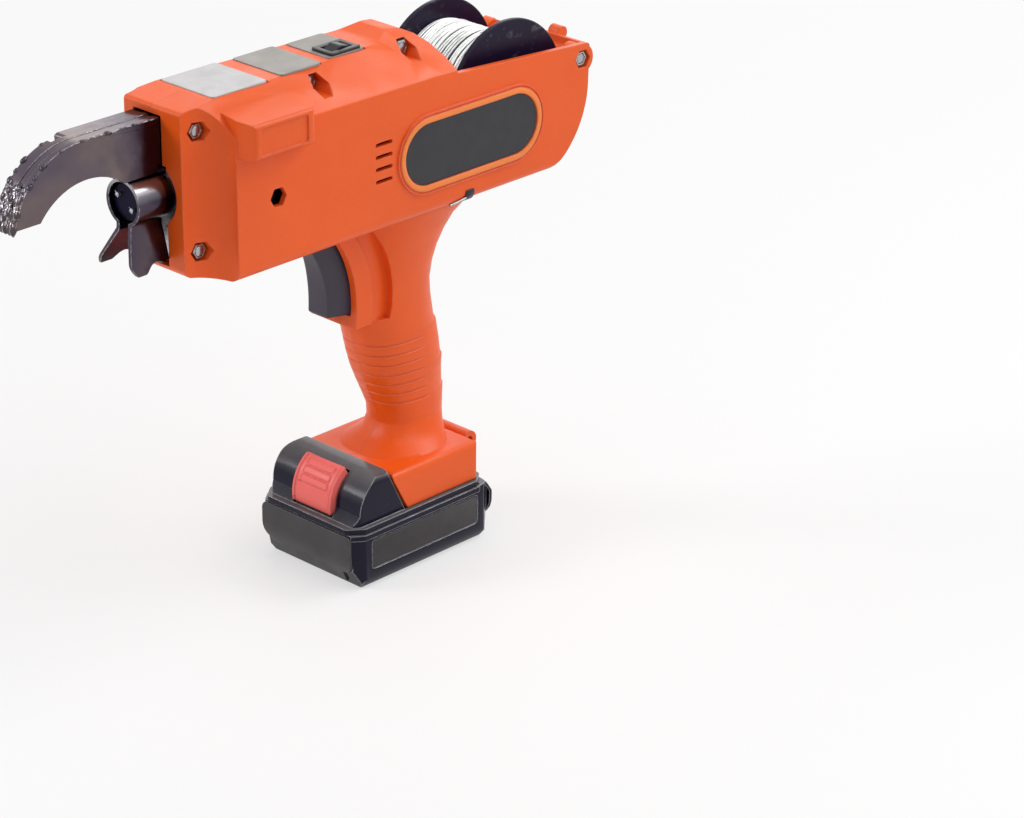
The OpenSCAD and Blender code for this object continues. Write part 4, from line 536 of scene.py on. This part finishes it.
def sweep(bm, points, radius, sides):
    """Closed tube along points, with its rings turned from one to the next without twist."""
    rings = []
    normal = None
    for i, p in enumerate(points):
        tangent = (points[min(i + 1, len(points) - 1)] - points[max(i - 1, 0)]).normalized()
        if normal is None:
            normal = tangent.orthogonal().normalized()
        normal = (normal - tangent * normal.dot(tangent)).normalized()
        side = tangent.cross(normal)
        rings.append([bm.verts.new(p + radius * (normal * math.cos(a) + side * math.sin(a)))
                      for a in (2 * math.pi * k / sides for k in range(sides))])
    bridge(bm, rings)
    bm.faces.new(list(reversed(rings[0])))
    bm.faces.new(rings[-1])


def lathe(bm, profile, segments, matrix):
    """Turns (radius, height) pairs about the local z axis of matrix; a radius of 0 closes an end."""
    rings = []
    for radius, height in profile:
        if radius == 0:
            rings.append([bm.verts.new(matrix @ Vector((0, 0, height)))])
            continue
        rings.append([bm.verts.new(matrix @ Vector((radius * math.cos(a), radius * math.sin(a), height)))
                      for a in (2 * math.pi * k / segments for k in range(segments))])
    for low, high in zip(rings, rings[1:]):
        for k in range(segments):
            j = (k + 1) % segments
            corners = [low[k % len(low)], low[j % len(low)], high[j % len(high)], high[k % len(high)]]
            unique = list(dict.fromkeys(corners))
            if len(unique) > 2:
                bm.faces.new(unique)


# Wire on the spool: layers of one lay each, wandering and bunched, with loose strands across the top
WIRE_R = 0.425 * MM
WIRE_SIDES = 6
WIRE_STEPS = 40
WIRE_LOOPS = (41, 36, 28)
WIRE_WANDER = (0.3 * MM, 0.5 * MM, 1.1 * MM)
WIRE_SEED = Vector((3.7, 1.9, 8.2))
FLANGE_GAP = 0.1 * MM
TOP_SINK = 0.5 * MM
LAYER_STEP = 1.8 * WIRE_R
CORE_SEGMENTS = 64
LOOSE_STRANDS = 16
STRAND_TURN = math.radians(80)
STRAND_LEAN = 0.5
STRAND_REACH = 0.95


def wire_layer(bm, centre, radius, half, loops, wander, seed):
    """One helical layer from flange to flange."""
    points = []
    count = loops * WIRE_STEPS
    for i in range(count + 1):
        share = i / count
        turn = 2 * math.pi * loops * share
        around = Vector((math.cos(turn), 0, math.sin(turn)))
        drift = noise.noise(seed + around * 0.5 + Vector((0, share * loops * 0.7, 0)))
        swell = noise.noise(seed * 2 + around * 0.9 + Vector((0, share * loops * 0.8, 0)))
        y = half * (2 * share - 1) + wander * drift * min(1, 6 * share, 6 * (1 - share))
        r = radius + 0.2 * wander * swell - 0.3 * wander * (2 * share - 1) ** 4
        points.append(centre + around * r + Vector((0, max(-half, min(half, y)), 0)))
    sweep(bm, points, WIRE_R, WIRE_SIDES)


def wire_strand(bm, centre, radius, half, start, y0, y1):
    """A loose strand over the top layer from y0 to y1, tucked under at both ends."""
    points = []
    for i in range(WIRE_STEPS + 1):
        share = i / WIRE_STEPS
        turn = start + STRAND_TURN * share
        r = radius - 2 * WIRE_R + 2 * WIRE_R * math.sin(math.pi * share) ** 0.5
        y = half * (y0 + (y1 - y0) * share)
        points.append(centre + Vector((r * math.cos(turn), y, r * math.sin(turn))))
    sweep(bm, points, WIRE_R, WIRE_SIDES)


def wound_wire():
    low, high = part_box("wire_winding")
    centre = (low + high) / 2
    outer = (high.z - low.z) / 2
    half = (high.y - low.y) / 2 - WIRE_R - FLANGE_GAP
    top, under = bmesh.new(), bmesh.new()
    last = len(WIRE_LOOPS) - 1
    for layer, (loops, wander) in enumerate(zip(WIRE_LOOPS, WIRE_WANDER)):
        radius = outer - WIRE_R - TOP_SINK - LAYER_STEP * (last - layer)
        wire_layer(top if layer == last else under, centre, radius, half, loops, wander,
                   WIRE_SEED * (layer + 1))
    for k in range(LOOSE_STRANDS):
        start, place, lean = ((k + 1) * step % 1 for step in SPREAD)
        y0 = 1.8 * place - 0.9
        y1 = max(-STRAND_REACH, min(STRAND_REACH, y0 + STRAND_LEAN * (lean - 0.5)))
        wire_strand(top, centre, outer - 1.2 * WIRE_R, half, 2 * math.pi * start, y0, y1)
    piece("wound_wire", top, "tie_wire", "spool", ("wire_winding", "wire_core"))
    # The lower layers and the core are drawn dark, as painted shade showing between the top strands.
    core_r = outer - 2 * WIRE_R * (last + 1)
    lathe(under, [(core_r, -half), (core_r, half)], CORE_SEGMENTS,
          Matrix.Translation(centre) @ Matrix.Rotation(math.pi / 2, 4, "X"))
    piece("wire_under_layers", under, "tie_wire", "spool", look=SHADED_WIRE)


# Screws and nuts of the casing, each set where its CAD solid is, with a black disc of painted shade under
# each nut
SCREW_R = 1.95 * MM
SCREW_SEGMENTS = 24
SCREW_SMOOTH = math.radians(30)
HEAD_H = 2.6 * MM
# Pan head and its socket, in shares of the head's radius and height
HEAD_PROFILE = [(1, 0), (1, -0.35), (0.86, -0.8), (0.5, -1), (0.42, -1), (0.36, -0.45), (0, -0.4)]
NECK_SHARE = 0.9
TIP_SHARE = 0.7
TIP_CHAMFER = 0.3 * MM
THREAD_PITCH = 0.7 * MM
THREAD_TURNS = 9
THREAD_ROOT = 0.86
HEX = 6
NUT_SHARE = 0.84
NUT_SMOOTH = math.radians(25)
# Outside of a nut, in shares of its corner radius and height, and its bore, in shares of the screw's radius
NUT_PROFILE = [(1, 0), (1, 0.82), (0.9, 1)]
BORE_PROFILE = [(1.25, 1), (1, 0.75)]
SHADE_DISC_SHARE = 0.3
SHADE_DISC_SEGMENTS = 32
# Outside of a shade disc, in shares of the nut's flats and of the disc's height
SHADE_DISC_PROFILE = [(0.49, 0), (0.49, 0.8), (0.47, 1)]


def frame_along_y(x, y, z):
    """Matrix at a place whose local z axis points along y."""
    return Matrix.Translation((x, y, z)) @ Matrix.Rotation(-math.pi / 2, 4, "X")


def scaled(profile, radius, height):
    return [(r * radius, h * height) for r, h in profile]


def hex_nut(bm, x, z, y0, y1, flats):
    """Hexagon nut with chamfered corners and a countersunk bore."""
    height = y1 - y0
    profile = scaled(NUT_PROFILE, flats / math.sqrt(3), height) + scaled(BORE_PROFILE, SCREW_R, height)
    lathe(bm, profile, HEX, frame_along_y(x, y0, z))


def screw(bm, x, z, y0, y1, head_r):
    """Pan-head screw whose head ends at y0 and whose threaded tip ends at y1."""
    length = y1 - y0 - HEAD_H
    profile = [(0, length), (SCREW_R * TIP_SHARE, length)]
    for k in range(THREAD_TURNS):
        h = length - TIP_CHAMFER - k * THREAD_PITCH
        profile += [(SCREW_R, h), (SCREW_R * THREAD_ROOT, h - THREAD_PITCH / 2)]
    profile += [(SCREW_R * NECK_SHARE, 0)] + scaled(HEAD_PROFILE, head_r, HEAD_H)
    lathe(bm, profile, SCREW_SEGMENTS, frame_along_y(x, y0 + HEAD_H, z))


def casing_fixings():
    nuts, shade_discs, screws = bmesh.new(), bmesh.new(), bmesh.new()
    for low, high in solids_of("casing_nuts"):
        mid = (low + high) / 2
        flats = min(high.x - low.x, high.z - low.z)
        hex_nut(nuts, mid.x, mid.z, low.y, high.y, NUT_SHARE * flats)
        # Painted shade: a black disc at the bottom of each nut's pocket, for the shade deep in the pocket.
        rise = SHADE_DISC_SHARE * (high.y - low.y)
        profile = scaled(SHADE_DISC_PROFILE, flats, rise) + [(SCREW_R, rise)]
        lathe(shade_discs, profile, SHADE_DISC_SEGMENTS, frame_along_y(mid.x, low.y, mid.z))
    for low, high in solids_of("casing_screws"):
        mid = (low + high) / 2
        screw(screws, mid.x, mid.z, low.y, high.y, (high.z - low.z) / 2)
    piece("hex_nuts", nuts, "zinc", "casing", ("casing_nuts",), NUT_SMOOTH)
    piece("nut_pocket_shade", shade_discs, "switch_black", "casing")
    piece("pan_screws", screws, "zinc", "casing", ("casing_screws",), SCREW_SMOOTH)


# Tack welds along the top of the arm and the hook, and the welded crust over the hook's tip
BEAD_SEED = Vector((5.1, 2.3, 7.7))
HOOK_R = 32.6 * MM
HOOK_X = 149.6 * MM
# Each drop on the arm: x and half sizes along x, y and z
ARM_BEADS = [(124.6, 1.5, 0.7, 0.5), (137.1, 1.9, 1.1, 0.9), (149.0, 1.5, 0.8, 0.6)]
# Each drop on the hook: angle above the level and half sizes along, across and out
HOOK_BEADS = [(73, 1.3, 0.8, 0.6), (57, 1.9, 1.2, 1.0), (48, 1.2, 1.0, 0.7), (41, 1.7, 1.3, 1.0)]
# How far the drops are let in from the plates' outer faces, from the arm's top and from the hook's edge
BEAD_IN = 0.3 * MM
ARM_SINK = 0.1 * MM
HOOK_SINK = 0.15 * MM
BEAD_LUMPS = 0.3
WELD_SMOOTH = math.radians(60)
# Runs of weld on the arm: first and last x
ARM_RUNS = [(126.4, 132.6), (138.9, 147.2)]
RUN_R = 0.42 * MM
RUN_SIDES = 8
RUN_STEPS = 14
# Drops of the crust: their count, the angles they cover and their half sizes along, across and out
CRUST_DROPS = 64
CRUST_ANGLES = (10, 41)
CRUST_SHAPE = (1.3, 1, 0.5)


def bead(bm, at, along, half, seed):
    """A lumpy drop of weld whose half sizes lie along, across and out from the edge."""
    turn = Matrix((along, Vector((0, 1, 0)), along.cross(Vector((0, 1, 0))))).transposed()
    made = bmesh.ops.create_icosphere(bm, subdivisions=2, radius=1.0)
    for v in made["verts"]:
        lump = 1 + BEAD_LUMPS * noise.noise(v.co * 1.4 + seed)
        v.co = at + turn @ Vector([c * h for c, h in zip(v.co, half)]) * lump


def hook_frame(angle, y):
    """Place on the hook's round edge at an angle above the level, and the direction along the edge."""
    out = Vector((math.cos(angle), 0, math.sin(angle)))
    centre = Vector((HOOK_X, y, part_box("jaw_left_plate")[1].z - HOOK_R))
    return centre + (HOOK_R - HOOK_SINK) * out, Vector((out.z, 0, -out.x))


def jaw_welds():
    near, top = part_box("jaw_left_plate")[1].yz
    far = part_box("jaw_right_plate")[0].y
    bm = bmesh.new()
    for k, (x, *half) in enumerate(ARM_BEADS):
        at = Vector((x * MM, near - BEAD_IN, top - ARM_SINK))
        bead(bm, at, Vector((1, 0, 0)), [h * MM for h in half], BEAD_SEED * (k + 1))
    for k, (angle, *half) in enumerate(HOOK_BEADS):
        for y in (near - BEAD_IN, far + BEAD_IN):
            at, along = hook_frame(math.radians(angle), y)
            bead(bm, at, along, [h * MM for h in half], BEAD_SEED * (k + 5) + Vector((y, 0, 0)))
    for x0, x1 in ARM_RUNS:
        points = []
        for i in range(RUN_STEPS + 1):
            x = (x0 + (x1 - x0) * i / RUN_STEPS) * MM
            wave = noise.noise(Vector((x * 900, 0, 3.1)))
            points.append(Vector((x, near + (0.12 * wave - 0.35) * MM, top + (0.1 * wave - 0.15) * MM)))
        sweep(bm, points, RUN_R, RUN_SIDES)
    first, last = CRUST_ANGLES
    for k in range(CRUST_DROPS):
        along, across, size = ((k + 1) * step % 1 for step in SPREAD)
        angle = math.radians(first + (last - first) * along ** 1.4)
        size = (1.0 + 0.9 * size ** 2) * MM
        at, along = hook_frame(angle, far + (near - far) * across)
        bead(bm, at, along, [share * size for share in CRUST_SHAPE], BEAD_SEED * (k + 20))
    piece("jaw_welds", bm, "jaw_steel", "casing", smooth=WELD_SMOOTH, look=WELD_LOOK)


# Bare panels let into the sides of the battery
PANEL_SIZE = (59.2 * MM, 12.0 * MM)
PANEL_R = 1.3 * MM
PANEL_Z = 14.2 * MM
PANEL_DEPTH = 1.45 * MM
# Rings of a panel from its back to its front: inset and height
PANEL_RINGS = ((0, 0), (0, 0.35 * MM), (0.15 * MM, 0.5 * MM))
CORNER_STEPS = 5


def rounded_rectangle(width, height, radius):
    points = []
    for sx, sy, turn in ((1, 1, 0), (-1, 1, 90), (-1, -1, 180), (1, -1, 270)):
        for k in range(CORNER_STEPS + 1):
            a = math.radians(turn + 90 * k / CORNER_STEPS)
            points.append((sx * (width / 2 - radius) + radius * math.cos(a),
                           sy * (height / 2 - radius) + radius * math.sin(a)))
    return points


def side_panels():
    low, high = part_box("battery_tray")
    length, height = PANEL_SIZE
    x = (low.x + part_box("battery_label")[1].x) / 2
    outline = rounded_rectangle(length, height, PANEL_R)
    for name, way in (("side_panel_left", 1), ("side_panel_right", -1)):
        bm = bmesh.new()
        rings = []
        for inset, rise in PANEL_RINGS:
            y = way * (high.y - PANEL_DEPTH + rise)
            wide, tall = 1 - 2 * inset / length, 1 - 2 * inset / height
            rings.append([bm.verts.new((x + px * wide, y, PANEL_Z + pz * tall)) for px, pz in outline])
        bridge(bm, rings)
        bm.faces.new(rings[-1])
        bm.faces.new(list(reversed(rings[0])))
        bmesh.ops.recalc_face_normals(bm, faces=bm.faces)
        piece(name, bm, "panel_grey", "battery")


# Paler band round the oval plate, on the casing's rim: distances outside the plate and heights, in mm
RIM_BAND = [(0.35, -0.05), (0.4, 0.15), (0.8, 0.26), (1.45, 0.3), (2.1, 0.26), (2.5, 0.15), (2.55, -0.05)]
RIM_OUT = 0.8 * MM
RIM_STEPS = 24


def oval_band():
    low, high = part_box("oval_plate")
    radius = (high.z - low.z) / 2
    reach = (high.x - low.x) / 2 - radius
    mid = (low + high) / 2
    bm = bmesh.new()
    rings = []
    for end in (1, -1):
        for k in range(RIM_STEPS + 1):
            a = math.pi * (k / RIM_STEPS - 0.5 * end)
            out = Vector((math.cos(a), 0, math.sin(a)))
            foot = Vector((mid.x + end * reach, low.y + RIM_OUT, mid.z))
            rings.append([bm.verts.new(foot + (radius + d * MM) * out + Vector((0, h * MM, 0)))
                          for d, h in RIM_BAND])
    for a, b in zip(rings, rings[1:] + rings[:1]):
        for k in range(len(RIM_BAND) - 1):
            bm.faces.new((a[k], b[k], b[k + 1], a[k + 1]))
    bmesh.ops.recalc_face_normals(bm, faces=bm.faces)
    piece("oval_band", bm, "casing", "casing", look=RIM_LOOK)


# Clip and wire over the casing's rounded lower edge behind the handle; the clip is black as painted shade
# for a dark recess there
EDGE_AT = Vector((0, 24.4 * MM, 154.7 * MM))
EDGE_R = 4.05 * MM
CLIP_X = (-27.4 * MM, -22.6 * MM)
CLIP_ANGLES = (-14, 96)
CLIP_STEPS = 16
CLIP_THICK = 0.45 * MM
CLIP_SINK = 0.3 * MM
CLIP_ROUND = 0.2 * MM
CLIP_TRIM = 0.5 * MM
# Wire: its radius, sides and steps, how far out it lies, and its first x and angle with their growth
STRAP_R = 0.55 * MM
STRAP_SIDES = 10
STRAP_STEPS = 12
STRAP_OUT = 0.3 * MM
STRAP_X = (-23 * MM, 7.5 * MM)
STRAP_ANGLE = (28, 30)


def edge_point(x, angle, out):
    """Place over the casing's lower left edge: angle 0 on its side, 90 underneath."""
    a = math.radians(angle)
    return EDGE_AT + Vector((x, (EDGE_R + out) * math.cos(a), -(EDGE_R + out) * math.sin(a)))


def painted_shade_clip():
    bm = bmesh.new()
    rings = []
    for i in range(CLIP_STEPS + 1):
        angle = CLIP_ANGLES[0] + (CLIP_ANGLES[1] - CLIP_ANGLES[0]) * i / CLIP_STEPS
        trim = CLIP_TRIM if i in (0, CLIP_STEPS) else 0
        x0, x1 = CLIP_X[0] + trim, CLIP_X[1] - trim
        rings.append([bm.verts.new(edge_point(x, angle, out)) for x, out in (
            (x0, -CLIP_SINK), (x1, -CLIP_SINK), (x1, 0.75 * CLIP_THICK), (x1 - CLIP_ROUND, CLIP_THICK),
            (x0 + CLIP_ROUND, CLIP_THICK), (x0, 0.75 * CLIP_THICK))])
    bridge(bm, rings)
    bm.faces.new(rings[0])
    bm.faces.new(list(reversed(rings[-1])))
    bmesh.ops.recalc_face_normals(bm, faces=bm.faces)
    # Painted shade: the clip is black where a dark recess shows in the casing.
    piece("painted_shade_clip", bm, "switch_black", "casing")
    wire = bmesh.new()
    (x, run), (angle, turn) = STRAP_X, STRAP_ANGLE
    points = [edge_point(x + run * k / STRAP_STEPS, angle + turn * k / STRAP_STEPS, STRAP_OUT)
              for k in range(STRAP_STEPS + 1)]
    sweep(wire, points, STRAP_R, STRAP_SIDES)
    piece("strap_wire", wire, "zinc", "casing")


# Springs behind the trigger and the battery's button
SPRING_STEPS = 24
SPRING_SIDES = 10
# Each spring: piece, CAD node, body, joint, lean above +X in degrees, length, coil radius and wire radius
# in mm, curls, and travel in mm
SPRINGS = [
    ("trigger_coil", "trigger_spring", "casing", "trigger_slide", 0, 12.55, 3.0, 0.4, 6, 5.0),
    ("latch_coil", "latch_spring", "battery", "latch_press", 14, 3.85, 2.4, 0.3, 3, 2.6),
]


def springs():
    for name, node, body, joint, lean, length, coil_r, wire_r, curls, travel in SPRINGS:
        low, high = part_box(node)
        lean = math.radians(lean)
        axis = Vector((math.cos(lean), 0, math.sin(lean)))
        across = Vector((0, 1, 0))
        up = axis.cross(across)
        seat = (low + high) / 2 - axis * length * MM / 2
        points = []
        for i in range(curls * SPRING_STEPS + 1):
            a = 2 * math.pi * i / SPRING_STEPS
            along = wire_r + (length - 2 * wire_r) * i / (curls * SPRING_STEPS)
            points.append(seat + MM * (axis * along + coil_r * (across * math.cos(a) + up * math.sin(a))))
        bm = bmesh.new()
        sweep(bm, points, wire_r * MM, SPRING_SIDES)
        coil = piece(name, bm, SLOT_OF[node], body, (node,))
        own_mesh(coil)


# Stage: camera, floor, world and lamps
def photo_camera():
    data = bpy.data.cameras.new("photo_camera")
    data.sensor_width = SENSOR_W
    data.lens = FOCAL_PX * SENSOR_W / IMAGE_W
    data.clip_start, data.clip_end = VIEW_RANGE
    back = Vector((math.cos(CAMERA_YAW) * math.cos(CAMERA_PITCH),
                   math.sin(CAMERA_YAW) * math.cos(CAMERA_PITCH), math.sin(CAMERA_PITCH)))
    level = Vector((-math.sin(CAMERA_YAW), math.cos(CAMERA_YAW), 0))
    rise = back.cross(level)
    right = level * math.cos(CAMERA_ROLL) + rise * math.sin(CAMERA_ROLL)
    up = back.cross(right)
    camera = bpy.data.objects.new("photo_camera", data)
    camera.matrix_world = Matrix.Translation(CAMERA_AT) @ Matrix((right, up, back)).transposed().to_4x4()
    bpy.context.scene.collection.objects.link(camera)
    bpy.context.scene.camera = camera


def seen_rays(tree):
    """Mask that is 1 for rays from the camera, from gloss and through glass."""
    rays = tree.nodes.new("ShaderNodeLightPath")
    seen = rays.outputs["Is Camera Ray"]
    for name in ("Is Glossy Ray", "Is Transmission Ray"):
        node = tree.nodes.new("ShaderNodeMath")
        node.operation = "MAXIMUM"
        tree.links.new(seen, node.inputs[0])
        tree.links.new(rays.outputs[name], node.inputs[1])
        seen = node.outputs["Value"]
    return seen


def floor():
    """Pale paper that keeps the shadow, lifted towards white where it is seen, and more so further off."""
    bm = bmesh.new()
    bmesh.ops.create_grid(bm, x_segments=1, y_segments=1, size=FLOOR_SIZE / 2)
    mesh = bpy.data.meshes.new("floor")
    bm.to_mesh(mesh)
    bm.free()
    s = Shader("floor_paper")
    s.set(Base_Color=FLOOR_COLOUR, Roughness=0.9, Specular_IOR_Level=0.1)
    glow = s.add("ShaderNodeEmission")
    blend = s.add("ShaderNodeMixShader")
    away = s.add("ShaderNodeVectorMath")
    away.operation = "LENGTH"
    s.link(s.place, away.inputs[0])
    lift = s.band(away.outputs["Value"], *FLOOR_REACH, FLOOR_LIFT, 1)
    s.link(s.both(seen_rays(s.tree), lift), blend.inputs["Fac"])
    s.link(s.bsdf.outputs["BSDF"], blend.inputs[1])
    s.link(glow.outputs["Emission"], blend.inputs[2])
    s.link(blend.outputs["Shader"], s.out.inputs["Surface"])
    mesh.materials.append(s.material)
    plane = bpy.data.objects.new("floor", mesh)
    plane.location.z = -FLOOR_DROP
    bpy.context.scene.collection.objects.link(plane)


def studio_world():
    """Grey light on the object, and white where the camera, gloss or glass sees past it."""
    world = bpy.data.worlds.new("studio")
    world.use_nodes = True
    tree = world.node_tree
    tree.nodes.clear()
    out = tree.nodes.new("ShaderNodeOutputWorld")
    background = tree.nodes.new("ShaderNodeBackground")
    background.inputs["Color"].default_value = (1, 1, 1, 1)
    level = tree.nodes.new("ShaderNodeMapRange")
    level.inputs["To Min"].default_value = AMBIENT
    level.inputs["To Max"].default_value = 1.0
    tree.links.new(seen_rays(tree), level.inputs["Value"])
    tree.links.new(level.outputs["Result"], background.inputs["Strength"])
    tree.links.new(background.outputs["Background"], out.inputs["Surface"])
    bpy.context.scene.world = world


def lamps():
    for name, place, size, power in LAMPS:
        data = bpy.data.lights.new(name, "AREA")
        data.shape = "RECTANGLE"
        data.size, data.size_y = size
        data.energy = power
        lamp = bpy.data.objects.new(name, data)
        lamp.location = place
        lamp.rotation_euler = (TARGET - place).to_track_quat("-Z", "Y").to_euler()
        bpy.context.scene.collection.objects.link(lamp)


photo_camera()
floor()
studio_world()
lamps()
dress_cad_nodes()
wound_wire()
casing_fixings()
jaw_welds()
side_panels()
oval_band()
painted_shade_clip()
springs()

bpy.context.scene.view_settings.view_transform = "Standard"
